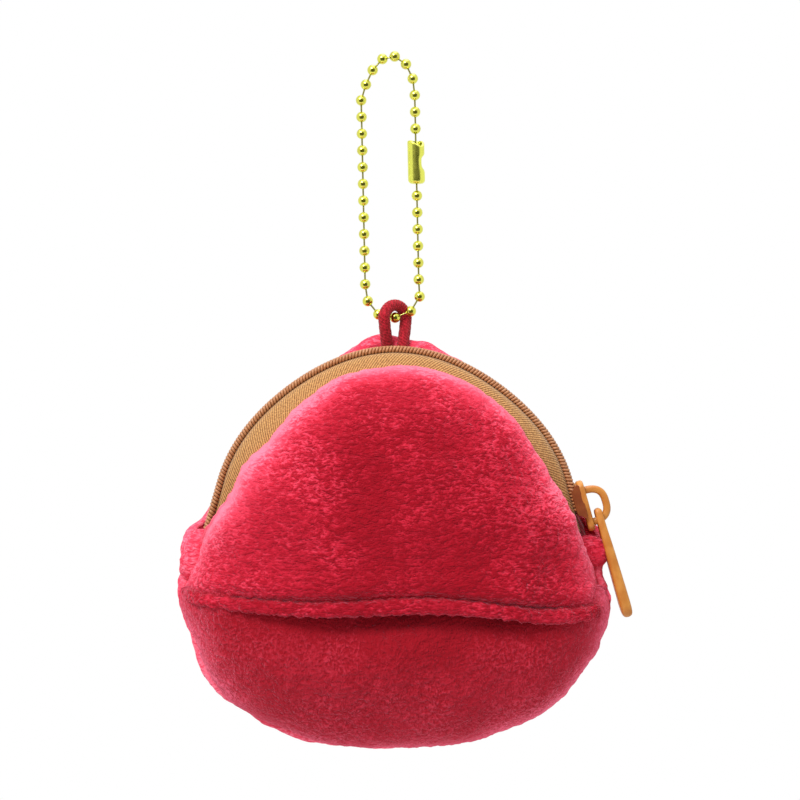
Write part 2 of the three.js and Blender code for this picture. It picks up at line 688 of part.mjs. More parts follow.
const frontOutline = panelOutline(FRONT_DOME_RADIUS, SHOULDER_X, (SHOULDER_X + 2 * WIDEST_X) / 3, 0);
const backOutline = panelOutline(
  BACK_DOME_RADIUS, ZIP_RADIUS + BACK_SHOULDER_OUT, ZIP_RADIUS + BACK_FLANK_OUT, BACK_CROWN_RISE);
const frontPanel = { side: -1, depth: FRONT_DEPTH, swell: 0, outline: frontOutline };
const lowerPanel = { ...frontPanel, depth: FRONT_DEPTH - PLUSH_THICKNESS - GAP, swell: LOWER_SWELL };
const backPanel = { side: 1, depth: BACK_DEPTH, swell: 0, outline: backOutline };
const waddingIn = PLUSH_THICKNESS + GAP;
const waddingOut = waddingIn + WADDING_THICKNESS;
const liningIn = waddingOut + GAP;
const liningOut = liningIn + LINING_THICKNESS;
const hemBottomZ = HEM_TOP_Z - HEM_HEIGHT;
const deepZ = -2 * ZIP_RADIUS;

function frontPieces() {
  const layer = (face, back, lowZ, highZ) => paddedLayer(frontPanel, face, back).intersect(slab(lowZ, highZ));
  const dome = layer(0, PLUSH_THICKNESS, GAP / 2, ZIP_RADIUS);
  const fold = layer(0, PLUSH_THICKNESS, HEM_TOP_Z + GAP, -GAP / 2);
  const hem = layer(-HEM_STAND, PLUSH_THICKNESS, hemBottomZ, HEM_TOP_Z);
  const room = paddedLayer(frontPanel, -HEM_STAND - GAP, PLUSH_THICKNESS + GAP, GAP)
    .intersect(slab(hemBottomZ - GAP, 0));
  const tuckTop = HEM_TOP_Z + TUCK_HEIGHT;
  const lowerWhole = paddedLayer(lowerPanel, 0, PLUSH_THICKNESS);
  const lower = largestPiece(lowerWhole.intersect(slab(deepZ, tuckTop)).subtract(room));
  const lowerRoom = paddedLayer(lowerPanel, -GAP, PLUSH_THICKNESS + GAP, GAP)
    .intersect(slab(deepZ, tuckTop + GAP));
  const wadding = largestPiece(paddedLayer(frontPanel, waddingIn, waddingOut).subtract(lowerRoom));
  const lining = paddedLayer(frontPanel, liningIn, liningOut);
  return [
    piece('front_panel_dome', geometryOf(dome), finishes.plush),
    piece('front_panel_fold', geometryOf(fold), finishes.plush),
    piece('front_hem', geometryOf(hem), finishes.plush),
    piece('front_panel_lower', geometryOf(lower), finishes.plush),
    piece('front_wadding', geometryOf(wadding), finishes.wadding),
    piece('front_lining', geometryOf(lining), finishes.lining),
  ];
}

function backPieces() {
  return [
    piece('back_panel', geometryOf(paddedLayer(backPanel, 0, PLUSH_THICKNESS)), finishes.plush),
    piece('back_wadding', geometryOf(paddedLayer(backPanel, waddingIn, waddingOut)), finishes.wadding),
    piece('back_lining', geometryOf(paddedLayer(backPanel, liningIn, liningOut)), finishes.lining),
  ];
}

// A small plush pad between the panels' rims, just past an end of the zip
function endTab(name, side) {
  const pad = new THREE.SphereGeometry(1, TAB_SIDES, TAB_RINGS).rotateX(Math.PI / 2);
  pad.scale(TAB_HALF_THICKNESS, TAB_HALF_WIDTH, TAB_HALF_HEIGHT);
  pad.translate(side * TAB_CENTRE_X, 0, TAB_CENTRE_Z);
  const room = (panel) => paddedLayer(panel, -GAP - HEM_STAND, liningOut, GAP);
  const tab = solidOf(pad).subtract(room(frontPanel)).subtract(room(backPanel));
  return piece(name, geometryOf(largestPiece(tab)), finishes.plush);
}

function purse() {
  const group = new THREE.Group();
  group.position.copy(lowestBead).applyEuler(new THREE.Euler(0, 0, -radians(CHAIN_YAW)));
  group.position.y -= LOOP_BEHIND_ZIP;
  group.position.z = zipCentreZ;
  group.add(...frontPieces(), ...backPieces());
  group.add(endTab('end_tab_left', -1), endTab('end_tab_right', 1));
  group.add(tape('front_tape', -1), tape('back_tape', 1));
  group.add(coil('front_coil', -1), coil('back_coil', 1));
  group.add(hangLoop(), sliderAssembly());
  return group;
}

const model = new THREE.Group();
model.add(ballChain(), purse());

export default model;
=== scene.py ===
"""Plush coin purse that hangs from its ball chain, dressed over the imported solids.

Lengths are millimetres unless a docstring says metres. Points are measured from the middle of
the zip's arc, or for the chain from the hang point, and become metres when a mesh is made.
"""

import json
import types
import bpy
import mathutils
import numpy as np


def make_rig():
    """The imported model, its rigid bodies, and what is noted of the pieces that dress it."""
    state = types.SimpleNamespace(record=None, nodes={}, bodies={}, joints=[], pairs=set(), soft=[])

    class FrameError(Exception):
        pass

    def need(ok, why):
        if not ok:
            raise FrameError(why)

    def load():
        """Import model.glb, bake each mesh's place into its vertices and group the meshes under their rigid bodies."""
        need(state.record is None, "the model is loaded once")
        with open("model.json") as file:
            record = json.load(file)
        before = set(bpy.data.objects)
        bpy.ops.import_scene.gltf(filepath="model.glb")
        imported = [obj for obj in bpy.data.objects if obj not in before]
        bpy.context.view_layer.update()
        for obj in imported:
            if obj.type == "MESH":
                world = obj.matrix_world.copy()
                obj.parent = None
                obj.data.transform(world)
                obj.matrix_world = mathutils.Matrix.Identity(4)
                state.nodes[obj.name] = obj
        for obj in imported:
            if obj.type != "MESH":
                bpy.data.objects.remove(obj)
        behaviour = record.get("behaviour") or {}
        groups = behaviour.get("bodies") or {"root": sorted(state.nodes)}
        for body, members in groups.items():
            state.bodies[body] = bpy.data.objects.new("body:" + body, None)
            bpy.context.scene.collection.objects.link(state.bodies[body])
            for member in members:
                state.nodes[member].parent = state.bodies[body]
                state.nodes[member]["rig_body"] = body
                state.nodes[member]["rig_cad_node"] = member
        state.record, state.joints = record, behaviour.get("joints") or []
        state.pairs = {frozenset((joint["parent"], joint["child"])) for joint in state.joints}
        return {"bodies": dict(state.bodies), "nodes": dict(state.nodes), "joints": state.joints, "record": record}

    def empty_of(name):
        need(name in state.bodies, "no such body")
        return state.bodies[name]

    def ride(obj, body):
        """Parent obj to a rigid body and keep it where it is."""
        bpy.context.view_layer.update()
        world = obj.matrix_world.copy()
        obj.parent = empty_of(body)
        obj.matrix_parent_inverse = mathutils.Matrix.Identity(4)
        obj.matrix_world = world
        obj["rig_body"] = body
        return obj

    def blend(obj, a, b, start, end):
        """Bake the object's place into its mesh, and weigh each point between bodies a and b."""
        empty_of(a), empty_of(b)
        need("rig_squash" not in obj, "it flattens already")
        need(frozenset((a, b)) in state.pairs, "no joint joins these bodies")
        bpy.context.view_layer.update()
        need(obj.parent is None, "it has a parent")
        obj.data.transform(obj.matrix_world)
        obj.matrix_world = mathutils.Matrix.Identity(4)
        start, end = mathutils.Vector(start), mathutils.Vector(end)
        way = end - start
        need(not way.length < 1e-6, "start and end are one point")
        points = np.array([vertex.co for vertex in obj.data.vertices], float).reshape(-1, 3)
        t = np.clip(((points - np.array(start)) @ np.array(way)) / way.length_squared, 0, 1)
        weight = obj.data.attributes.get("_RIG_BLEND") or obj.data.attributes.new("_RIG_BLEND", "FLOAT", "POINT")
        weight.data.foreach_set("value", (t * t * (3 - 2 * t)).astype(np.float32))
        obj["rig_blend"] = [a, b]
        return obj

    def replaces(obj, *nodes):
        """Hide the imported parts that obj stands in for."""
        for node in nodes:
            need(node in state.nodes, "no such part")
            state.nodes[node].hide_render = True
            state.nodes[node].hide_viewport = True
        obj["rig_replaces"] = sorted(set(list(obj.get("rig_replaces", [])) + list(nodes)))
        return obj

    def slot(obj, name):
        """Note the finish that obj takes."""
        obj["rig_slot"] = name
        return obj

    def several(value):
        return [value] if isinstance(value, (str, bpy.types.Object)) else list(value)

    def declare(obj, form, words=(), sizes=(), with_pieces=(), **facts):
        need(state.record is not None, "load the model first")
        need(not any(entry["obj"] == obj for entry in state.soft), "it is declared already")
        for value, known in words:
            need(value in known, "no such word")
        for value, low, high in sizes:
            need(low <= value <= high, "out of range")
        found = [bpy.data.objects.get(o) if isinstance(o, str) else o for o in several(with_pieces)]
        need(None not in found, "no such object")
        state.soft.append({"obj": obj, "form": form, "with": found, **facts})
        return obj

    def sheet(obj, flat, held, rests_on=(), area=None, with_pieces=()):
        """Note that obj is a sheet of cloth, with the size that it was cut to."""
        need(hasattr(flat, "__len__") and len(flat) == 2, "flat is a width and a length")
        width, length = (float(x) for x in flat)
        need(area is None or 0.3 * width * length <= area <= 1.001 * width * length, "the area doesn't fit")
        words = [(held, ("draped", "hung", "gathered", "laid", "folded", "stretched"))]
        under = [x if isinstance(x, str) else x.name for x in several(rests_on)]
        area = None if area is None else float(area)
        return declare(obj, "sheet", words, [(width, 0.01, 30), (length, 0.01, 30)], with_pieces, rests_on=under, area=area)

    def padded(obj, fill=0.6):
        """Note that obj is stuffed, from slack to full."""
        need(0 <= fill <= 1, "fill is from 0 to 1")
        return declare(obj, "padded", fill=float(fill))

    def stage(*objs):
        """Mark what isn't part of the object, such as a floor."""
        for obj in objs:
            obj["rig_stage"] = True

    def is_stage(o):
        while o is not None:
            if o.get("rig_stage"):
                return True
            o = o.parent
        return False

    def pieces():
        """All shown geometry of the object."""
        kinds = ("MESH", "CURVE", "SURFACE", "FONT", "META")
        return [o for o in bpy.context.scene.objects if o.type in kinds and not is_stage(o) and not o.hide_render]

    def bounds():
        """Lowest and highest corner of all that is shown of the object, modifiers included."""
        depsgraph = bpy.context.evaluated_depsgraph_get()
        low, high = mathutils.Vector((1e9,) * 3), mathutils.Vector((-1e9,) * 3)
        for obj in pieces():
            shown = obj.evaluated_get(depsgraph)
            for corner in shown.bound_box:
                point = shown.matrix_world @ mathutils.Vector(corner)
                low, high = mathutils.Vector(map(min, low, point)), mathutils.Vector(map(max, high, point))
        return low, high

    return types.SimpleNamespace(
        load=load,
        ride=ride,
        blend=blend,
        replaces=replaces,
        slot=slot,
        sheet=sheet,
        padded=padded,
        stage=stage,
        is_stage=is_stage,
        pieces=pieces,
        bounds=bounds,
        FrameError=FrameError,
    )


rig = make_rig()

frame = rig.load()
CAD_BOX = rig.bounds()

import json
import logging
import math
from dataclasses import dataclass, field
from enum import Enum
from functools import cache
from typing import Any, Callable, Sequence

import bpy
import numpy as np
from mathutils import Vector, noise

Colour = tuple[float, float, float]
Flat = tuple[float, float]

LOG = logging.getLogger("coin_purse")
MM = 0.001
IMAGE_SIDE = 800
JOINTS = {joint["name"]: joint for joint in frame["joints"]}
ZIP_MIDDLE = np.array(JOINTS["slider_travel"]["pos_m"]) / MM
HANG_POINT = (0.0, 0.0, 0.0)
SIDES = ((-1, "front"), (1, "back"))
OPENING = ((0.0, 0.0, -7.0), (0.0, 0.0, 9.0))
PLAIN = (1, 1, 1)


# Shader expressions


class Wire:
    """A node's output in an expression: each operator adds a Math node."""

    def __init__(self, bench: "Bench", socket: bpy.types.NodeSocket) -> None:
        """Keeps the socket and the bench that its nodes are on."""
        self.bench, self.socket = bench, socket

    def maths(self, operation: str, *values: Any) -> "Wire":
        """The result of a Math node.

        Args:
            operation: Its operation.
            values: Wires or numbers for its inputs, in order.

        Returns:
            The result.
        """
        return self.bench.add("ShaderNodeMath", {"operation": operation}, dict(enumerate(values)))

    def __add__(self, other: Any) -> "Wire":
        """Sum of two values."""
        return self.maths("ADD", self, other)

    def __sub__(self, other: Any) -> "Wire":
        """This value less another."""
        return self.maths("SUBTRACT", self, other)

    def __rsub__(self, other: Any) -> "Wire":
        """Another value less this one."""
        return self.maths("SUBTRACT", other, self)

    def __mul__(self, other: Any) -> "Wire":
        """Product of two values."""
        return self.maths("MULTIPLY", self, other)

    __radd__, __rmul__ = __add__, __mul__

    def sine(self) -> "Wire":
        """Sine of the value, in radians."""
        return self.maths("SINE", self)

    def largest(self, other: Any) -> "Wire":
        """The larger of two values."""
        return self.maths("MAXIMUM", self, other)

    def step(self, low: float, high: float) -> "Wire":
        """Rises smoothly from 0 where the value is low to 1 where it is high."""
        settings = {"interpolation_type": "SMOOTHSTEP"}
        return self.bench.add("ShaderNodeMapRange", settings, {0: self, 1: low, 2: high})


class Bench:
    """A node tree, and the one way to add a node to it."""

    def __init__(self, owner: Any, output: str = "ShaderNodeOutputMaterial") -> None:
        """Empties a tree and gives it an output.

        Args:
            owner: The material or world whose tree it is.
            output: The type of its output node.
        """
        owner.use_nodes = True
        self.owner, self.tree = owner, owner.node_tree
        self.tree.nodes.clear()
        self.output = self.node(output)

    def node(
        self, kind: str, settings: dict[str, Any] | None = None, inputs: dict[Any, Any] | None = None
    ) -> bpy.types.Node:
        """Adds a node.

        Args:
            kind: The node's type.
            settings: Properties of the node, or a ramp's stops, which are set first.
            inputs: Values or wires for its sockets, by name or number.

        Returns:
            The node.
        """
        made = self.tree.nodes.new(kind)
        for key, value in (settings or {}).items():
            if key == "stops":
                self.set_stops(made.color_ramp, value)
            else:
                setattr(made, key, value)
        for key, value in (inputs or {}).items():
            socket = made.inputs[key]
            if isinstance(value, Wire):
                self.tree.links.new(value.socket, socket)
            elif socket.type == "RGBA" and len(value) == 3:
                socket.default_value = (*value, 1.0)
            else:
                socket.default_value = value
        return made

    @staticmethod
    def set_stops(ramp: bpy.types.ColorRamp, stops: Sequence[tuple[float, Colour]]) -> None:
        """Puts stops on a ramp.

        Args:
            ramp: A new ramp, with its first two stops.
            stops: The place and colour of each.
        """
        for index, (place, colour) in enumerate(stops):
            element = ramp.elements[index] if index < 2 else ramp.elements.new(place)
            element.position, element.color = place, (*colour, 1.0)

    def add(self, kind: str, settings: dict, inputs: dict, output: Any = 0) -> Wire:
        """Adds a node, as node does, and gives one of its outputs."""
        return Wire(self, self.node(kind, settings, inputs).outputs[output])

    def carried(self, name: str, output: str = "Vector") -> Wire:
        """What a mesh carries at each point: lie, its place on the flat cloth, or edge."""
        return self.add("ShaderNodeAttribute", {"attribute_name": name}, {}, output)

    def scaled(self, place: Wire, scale: Colour) -> Wire:
        """A place stretched along its axes."""
        return self.add("ShaderNodeVectorMath", {"operation": "MULTIPLY"}, {0: place, 1: scale})

    def moved(self, place: Wire, offset: Wire, amount: float) -> Wire:
        """A place pushed by a colour or vector, times an amount."""
        settings = {"operation": "MULTIPLY_ADD"}
        return self.add("ShaderNodeVectorMath", settings, {0: offset, 1: (amount,) * 3, 2: place})

    def speckle(self, place: Wire, scale: float, detail: float = 2.0, output: int = 0) -> Wire:
        """Noise over a place.

        Args:
            place: The place.
            scale: Spots to a millimetre.
            detail: How many finer layers it has.
            output: 0 for the value, 1 for the colour.

        Returns:
            The noise.
        """
        values = {"Vector": place, "Scale": scale, "Detail": detail}
        return self.add("ShaderNodeTexNoise", {}, values, output)

    def blend(self, share: Any, low: Any, high: Any) -> Wire:
        """The colour between two, low where the share is 0."""
        return self.add("ShaderNodeMix", {"data_type": "RGBA"}, {0: share, 6: low, 7: high}, 2)

    def bump(self, height: Wire, distance: float) -> Wire:
        """A normal raised by a height, of which 1 is a distance in millimetres."""
        return self.add("ShaderNodeBump", {}, {"Height": height, "Distance": distance * MM})

    def surface(self, shader: bpy.types.Node) -> Any:
        """Shows a shader and hands the material or world over."""
        self.tree.links.new(shader.outputs[0], self.output.inputs[0])
        return self.owner

    def principled(self, inputs: dict[str, Any]) -> bpy.types.Material:
        """Finishes the material as one Principled surface."""
        return self.surface(self.node("ShaderNodeBsdfPrincipled", {}, inputs))


# Finishes


@dataclass(frozen=True)
class Coat:
    """What every finish has: a name, and a material of its own."""

    name: str

    def bench(self) -> Bench:
        """The empty node tree of its material."""
        return Bench(bpy.data.materials.new(self.name))


@dataclass(frozen=True)
class Plush(Coat):
    """Short tufted pile: deep red in the middle of a panel, brushed pinker in places, and paled by painted sheen and
    painted light where the edge value is high, most towards its rims.
    """

    deep: Colour = (0.32, 0.005, 0.014)
    brushed: Colour = (0.53, 0.015, 0.036)
    bright: Colour = (0.80, 0.055, 0.105)
    # rim is the colour of painted sheen, which the edge value brings in towards a panel's rims.
    rim: Colour = (0.97, 0.19, 0.28)
    brushed_at: float = 0.30
    bright_at: float = 0.6
    patch_scale: float = 0.045
    patch_contrast: float = 1.1
    curl_scale: float = 0.3
    curl: float = 1.6
    tuft_scale: float = 1.0
    tuft_stretch: Colour = (0.6, 0.9, 1.4)
    strand_scale: float = 1.9
    strand_stretch: Colour = (0.7, 0.9, 1.5)
    contrast: float = 1.155
    brushing: float = 0.33
    pit_depth: float = 0.7
    tuft_height: float = 0.82
    strand_height: float = 0.5

    def material(self) -> bpy.types.Material:
        """Builds the finish.

        Returns:
            Its material.
        """
        bench = self.bench()
        lie, edge = bench.carried("lie"), bench.carried("edge", "Fac")
        curled = bench.moved(lie, bench.speckle(lie, self.curl_scale, 2.0, 1), self.curl)
        patches = bench.speckle(lie, self.patch_scale)
        tufts = bench.speckle(bench.scaled(curled, self.tuft_stretch), self.tuft_scale)
        strands = bench.speckle(bench.scaled(curled, self.strand_stretch), self.strand_scale, 3.0)
        ruffled = bench.speckle(lie, 0.08, 1.0).step(0.38, 0.64) * 0.5 + 0.5
        pile = tufts.step(0.33, 0.67) * 0.5 + strands.step(0.33, 0.67) * 0.5
        laid = (patches - 0.5) * self.patch_contrast + (pile - 0.5) * (ruffled * self.contrast)
        laid = laid + self.brushing
        stops = (
            (0.0, self.deep), (self.brushed_at, self.brushed), (self.bright_at, self.bright), (1.0, self.rim))
        # The edge value is painted sheen and painted light and shade: it moves the colour up the ramp towards rim.
        share = edge + laid.step(0.0, 1.0) * 0.5 - 0.06
        ramp = bench.add("ShaderNodeValToRGB", {"stops": stops}, {0: share})
        pits = pile.step(0.42, 0.1) * ruffled * (self.pit_depth - edge)
        height = tufts * self.tuft_height + strands * self.strand_height
        return bench.principled({
            "Base Color": bench.blend(pits, ramp, self.deep),
            "Roughness": 0.95,
            "Specular IOR Level": 0.08,
            "Sheen Weight": 0.55,
            "Sheen Roughness": 0.35,
            "Sheen Tint": (1.0, 0.3, 0.42, 1.0),
            "Normal": bench.bump(height * (1 - edge * 0.75).step(0.0, 1.0), 1.0),
        })


@dataclass(frozen=True)
class Woven(Coat):
    """Cloth with slanting ribs, from a lie that runs along and across the weave."""

    thread: Colour
    gap: Colour
    rib: float = 0.55
    slant: float = 1.0
    height: float = 0.1
    roughness: float = 0.8
    sheen: float = 0.25
    fuzziness: float = 2.2
    weave: float = 0.85
    mottle: float = 0.7
    # Width of a painted shadow along the start of the cloth's width.
    painted_shadow_border: float = 0.0

    def material(self) -> bpy.types.Material:
        """Builds the finish.

        Returns:
            Its material.
        """
        bench = self.bench()
        lie = bench.carried("lie")
        along, across = (bench.add("ShaderNodeSeparateXYZ", {}, {0: lie}, axis) for axis in (0, 1))
        fuzz = bench.speckle(lie, 2.2, 3.0) - 0.5
        lean, turns = across * self.slant, 2 * math.pi / self.rib
        ribs = ((along + lean) * turns + fuzz * self.fuzziness).sine() * 0.5 + 0.5
        picks = ((along - lean) * (turns * 1.9)).sine() * 0.5 + 0.5
        threads = ribs * 0.72 + picks * 0.28
        shade = (threads * self.weave + fuzz * self.mottle + (0.85 - self.weave) / 2).step(0.12, 0.78)
        # Painted shadow: across its first millimetres the cloth darkens to its gap colour.
        if self.painted_shadow_border:
            shade = shade * across.step(self.painted_shadow_border * 0.5, self.painted_shadow_border * 1.5)
        return bench.principled({
            "Base Color": bench.blend(shade, self.gap, self.thread),
            "Roughness": self.roughness,
            "Specular IOR Level": 0.25,
            "Sheen Weight": self.sheen,
            "Sheen Roughness": 0.5,
            "Normal": bench.bump(threads, self.height),
        })


@dataclass(frozen=True)
class Nylon(Coat):
    """Satin monofilament of the coil, paler on the crowns of its turns."""

    body: Colour = (0.37, 0.14, 0.045)
    crown: Colour = (0.50, 0.235, 0.10)

    def material(self) -> bpy.types.Material:
        """Builds the finish.

        Returns:
            Its material.
        """
        bench = self.bench()
        grain = bench.speckle(bench.carried("lie"), 1.7, 3.0)
        return bench.principled({
            "Base Color": bench.blend(grain.step(0.38, 0.66), self.body, self.crown),
            "Roughness": grain * 0.2 + 0.3,
            "Specular IOR Level": 0.5,
            "Normal": bench.bump(grain, 0.03),
        })


@dataclass(frozen=True)
class Moulded(Coat):
    """Satin plastic with a fine uneven skin, a little darker in patches."""

    body: Colour = (0.50, 0.175, 0.024)
    worn: Colour = (0.60, 0.25, 0.045)

    def material(self) -> bpy.types.Material:
        """Builds the finish.

        Returns:
            Its material.
        """
        bench = self.bench()
        lie = bench.carried("lie")
        skin = bench.speckle(lie, 4.0)
        return bench.principled({
            "Base Color": bench.blend(bench.speckle(lie, 0.35, 3.0).step(0.35, 0.7), self.body, self.worn),
            "Roughness": skin * 0.18 + 0.34,
            "Specular IOR Level": 0.35,
            "Coat Weight": 0.06,
            "Coat Roughness": 0.3,
            "Normal": bench.bump(skin, 0.02),
        })


@dataclass(frozen=True)
class Plated(Coat):
    """Bright yellow plating with faint rubbed streaks."""

    bright: Colour = (0.74, 0.74, 0.115)
    rubbed: Colour = (0.60, 0.56, 0.11)
    blur: float = 0.1
    grain: float = 0.004

    def material(self) -> bpy.types.Material:
        """Builds the finish.

        Returns:
            Its material.
        """
        bench = self.bench()
        lie = bench.carried("lie")
        streaks = bench.speckle(bench.scaled(lie, (1.0, 1.0, 0.3)), 1.3, 3.0)
        return bench.principled({
            "Base Color": bench.blend(streaks.step(0.45, 0.75), self.bright, self.rubbed),
            "Metallic": 1.0,
            "Roughness": streaks * 0.2 + self.blur,
            "Normal": bench.bump(bench.speckle(lie, 5.0), self.grain),
        })


@dataclass(frozen=True)
class Fleece(Coat):
    """Loose off-white wadding."""

    light: Colour = (0.86, 0.84, 0.79)
    dark: Colour = (0.60, 0.57, 0.52)

    def material(self) -> bpy.types.Material:
        """Builds the finish.

        Returns:
            Its material.
        """
        bench = self.bench()
        tufts = bench.speckle(bench.carried("lie"), 0.9, 5.0)
        return bench.principled({
            "Base Color": bench.blend(tufts.step(0.3, 0.6), self.dark, self.light),
            "Roughness": 0.95,
            "Sheen Weight": 0.4,
            "Normal": bench.bump(tufts, 0.6),
        })


@dataclass(frozen=True)
class Card(Coat):
    """Plain matt card."""

    tone: Colour

    def material(self) -> bpy.types.Material:
        """Builds the finish."""
        return self.bench().principled({"Base Color": self.tone, "Roughness": 0.9})


class Finish(Enum):
    """The finishes of the purse and its stage."""

    PANEL = Plush("upper_plush")
    # A darker copy of the plush for the lower front, with its own tufts: painted shade of the panel under the hem.
    LOWER = Plush(
        "lower_plush_painted_shade", deep=(0.31, 0.007, 0.015), brushed=(0.435, 0.018, 0.035),
        bright=(0.58, 0.042, 0.076), rim=(0.88, 0.12, 0.21), tuft_scale=1.3, tuft_stretch=(0.9, 0.9, 1.1),
        strand_stretch=(1.3, 0.9, 0.8), contrast=0.945, tuft_height=0.58,
    )
    # The tape's dark border along the coil is painted shadow of the coil.
    TAPE = Woven(
        "zip_tape", (0.66, 0.35, 0.115), (0.22, 0.088, 0.022), rib=0.72, slant=0.8, height=0.13,
        weave=0.6, mottle=1.1, painted_shadow_border=1.7,
    )
    CORD = Woven(
        "loop_cord", (0.50, 0.014, 0.030), (0.24, 0.004, 0.009), rib=0.7, slant=0.5, roughness=0.95,
        sheen=0.12, fuzziness=7.0, weave=0.3, mottle=1.7,
    )
    LINING = Woven("lining_cloth", (0.36, 0.015, 0.03), (0.17, 0.006, 0.012), rib=0.7, height=0.06)
    THREAD = Woven("hem_thread", (0.46, 0.012, 0.03), (0.3, 0.008, 0.018), rib=0.35, height=0.04)
    # The core cord is coloured dark as painted shade between the coil and its tape.
    CORE_PAINTED_SHADE = Woven("coil_core", (0.30, 0.13, 0.045), (0.10, 0.035, 0.01), rib=0.4, height=0.06)
    COIL = Nylon("zip_coil")
    SLIDER = Moulded("slider_plastic")
    # A darker copy of the slider's plastic for its wings: painted shade under the outer plate.
    WING_PAINTED_SHADE = Moulded("slider_side_painted_shade", body=(0.20, 0.042, 0.006), worn=(0.25, 0.06, 0.01))
    CHAIN = Plated("chain_plating")
    # A darker, duller copy of the chain plating for the thin link wires: painted shade.
    LINK_PAINTED_SHADE = Plated("link_plating_painted_shade", (0.42, 0.40, 0.11), (0.34, 0.31, 0.10), blur=0.25, grain=0.001)
    SLEEVE = Plated("sleeve_plating", (0.80, 0.82, 0.13), (0.72, 0.72, 0.12), blur=0.19, grain=0.001)
    WADDING = Fleece("wadding_fleece")
    FLOOR = Card("floor_card", (0.88, 0.88, 0.88))
    DARK = Card("dark_card", (0.09, 0.09, 0.07))

    @cache
    def material(self) -> bpy.types.Material:
        """The finish's material, made once."""
        return self.value.material()

    def on(self, piece: bpy.types.Object) -> None:
        """Puts the finish on a piece."""
        piece.data.materials.append(self.material())


# Meshes


def smoothstep(value: Any, low: float, high: float) -> np.ndarray:
    """Rises smoothly from 0 where the value is low to 1 where it is high."""
    share = np.clip((np.asarray(value, float) - low) / (high - low), 0, 1)
    return share * share * (3 - 2 * share)


def through(points: Sequence[Sequence[float]], steps: int, closed: bool = False) -> np.ndarray:
    """A smooth curve through points.

    Args:
        points: The points, two or three numbers each.
        steps: How many places to give between neighbours.
        closed: Whether the last point joins the first.

    Returns:
        The places along the curve.
    """
    p = np.array(points, float)
    if closed:
        p = np.vstack([p[-1], p, p[:2]])
    else:
        p = np.vstack([2 * p[0] - p[1], p, 2 * p[-1] - p[-2]])
    t = np.linspace(0, 1, steps, endpoint=False)[:, None]
    parts = [
        0.5 * (2 * b + (c - a) * t + (2 * a - 5 * b + 4 * c - d) * t**2 + (3 * b - a - 3 * c + d) * t**3)
        for a, b, c, d in zip(p[:-3], p[1:-2], p[2:-1], p[3:])
    ]
    return np.vstack(parts if closed else [*parts, p[-2][None]])


def around(count: int) -> np.ndarray:
    """Angles all the way round, in radians."""
    return np.linspace(0, 2 * math.pi, count, endpoint=False)


def running(points: np.ndarray) -> np.ndarray:
    """The distance run along a line at each of its points."""
    return np.concatenate([[0], np.cumsum(np.linalg.norm(np.diff(points, axis=0), axis=1))])


def unit(directions: np.ndarray) -> np.ndarray:
    """Directions brought to a length of 1."""
    return directions / np.linalg.norm(directions, axis=-1, keepdims=True)


def waves(x: np.ndarray, *parts: Colour) -> np.ndarray:
    """A sum of sines, each of a height, a frequency and a phase."""
    return sum(height * np.sin(frequency * x + phase) for height, frequency, phase in parts)


@dataclass
class Patch:
    """A grid of points that becomes part of a mesh.

    Attributes:
        points: Rows and columns of points.
        origin: What they are measured from.
        ring: Whether the columns join round.
        pole: Whether the last row closes in a point.
        start_cap: Whether the first row closes in a face.
        lie: The place on the flat cloth of each point, if not the point itself.
        edge: How much painted sheen and painted light pale the pile at each point, from 0 to 1.
    """

    points: np.ndarray
    origin: Sequence[float] = tuple(ZIP_MIDDLE)
    ring: bool = False
    pole: bool = False
    start_cap: bool = False
    lie: np.ndarray | None = None
    edge: np.ndarray | None = None

    def arrays(self, first: int) -> tuple[np.ndarray, list[list[int]], np.ndarray, np.ndarray]:
        """What the patch adds to a mesh.

        Args:
            first: The number of its first point.

        Returns:
            Its points, faces, lie and edge.
        """
        rows, columns, _ = self.points.shape
        number = first + np.arange(rows * columns).reshape(rows, columns)
        near = number if self.ring else number[:, :-1]
        follow = np.roll(number, -1, axis=1) if self.ring else number[:, 1:]
        corners = [near[:-1], follow[:-1], follow[1:], near[1:]]
        faces = np.stack(corners, axis=-1).reshape(-1, 4).tolist()
        lie = self.points if self.lie is None else self.lie
        edge = np.zeros((rows, columns)) if self.edge is None else self.edge
        if self.start_cap:
            faces.append(number[0][::-1].tolist())
        carried = [self.points.reshape(-1, 3), lie.reshape(-1, 3), edge.reshape(-1, 1)]
        if self.pole:
            faces += [[int(a), int(b), first + number.size] for a, b in zip(near[-1], follow[-1])]
            tips = (self.points[-1].mean(0), lie[-1].mean(0), edge[-1].mean())
            carried = [np.vstack([values, tip]) for values, tip in zip(carried, tips)]
        return carried[0], faces, carried[1], carried[2]


def placed(name: str, data: Any) -> bpy.types.Object:
    """Puts something in the scene.

    Args:
        name: Its name.
        data: The mesh, lamp or camera.

    Returns:
        The object.
    """
    made = bpy.data.objects.new(name, data)
    bpy.context.scene.collection.objects.link(made)
    return made


def solid(
    name: str, spots: np.ndarray, faces: Sequence[Sequence[int]], lie: np.ndarray, edge: np.ndarray
) -> bpy.types.Object:
    """Makes one smooth object of points and faces.

    Args:
        name: Its name.
        spots: Its points, from the hang point.
        faces: The numbers of each face's points.
        lie: The place on the flat cloth of each point.
        edge: How much painted sheen and painted light pale the pile at each point.

    Returns:
        The object.
    """
    mesh = bpy.data.meshes.new(name)
    mesh.from_pydata((spots * MM).tolist(), [], faces)
    mesh.validate()
    carried = (("lie", "FLOAT_VECTOR", "vector", lie), ("edge", "FLOAT", "value", edge))
    for label, kind, key, values in carried:
        mesh.attributes.new(label, kind, "POINT").data.foreach_set(key, values.astype(np.float32).ravel())
    mesh.shade_smooth()
    return placed(name, mesh)


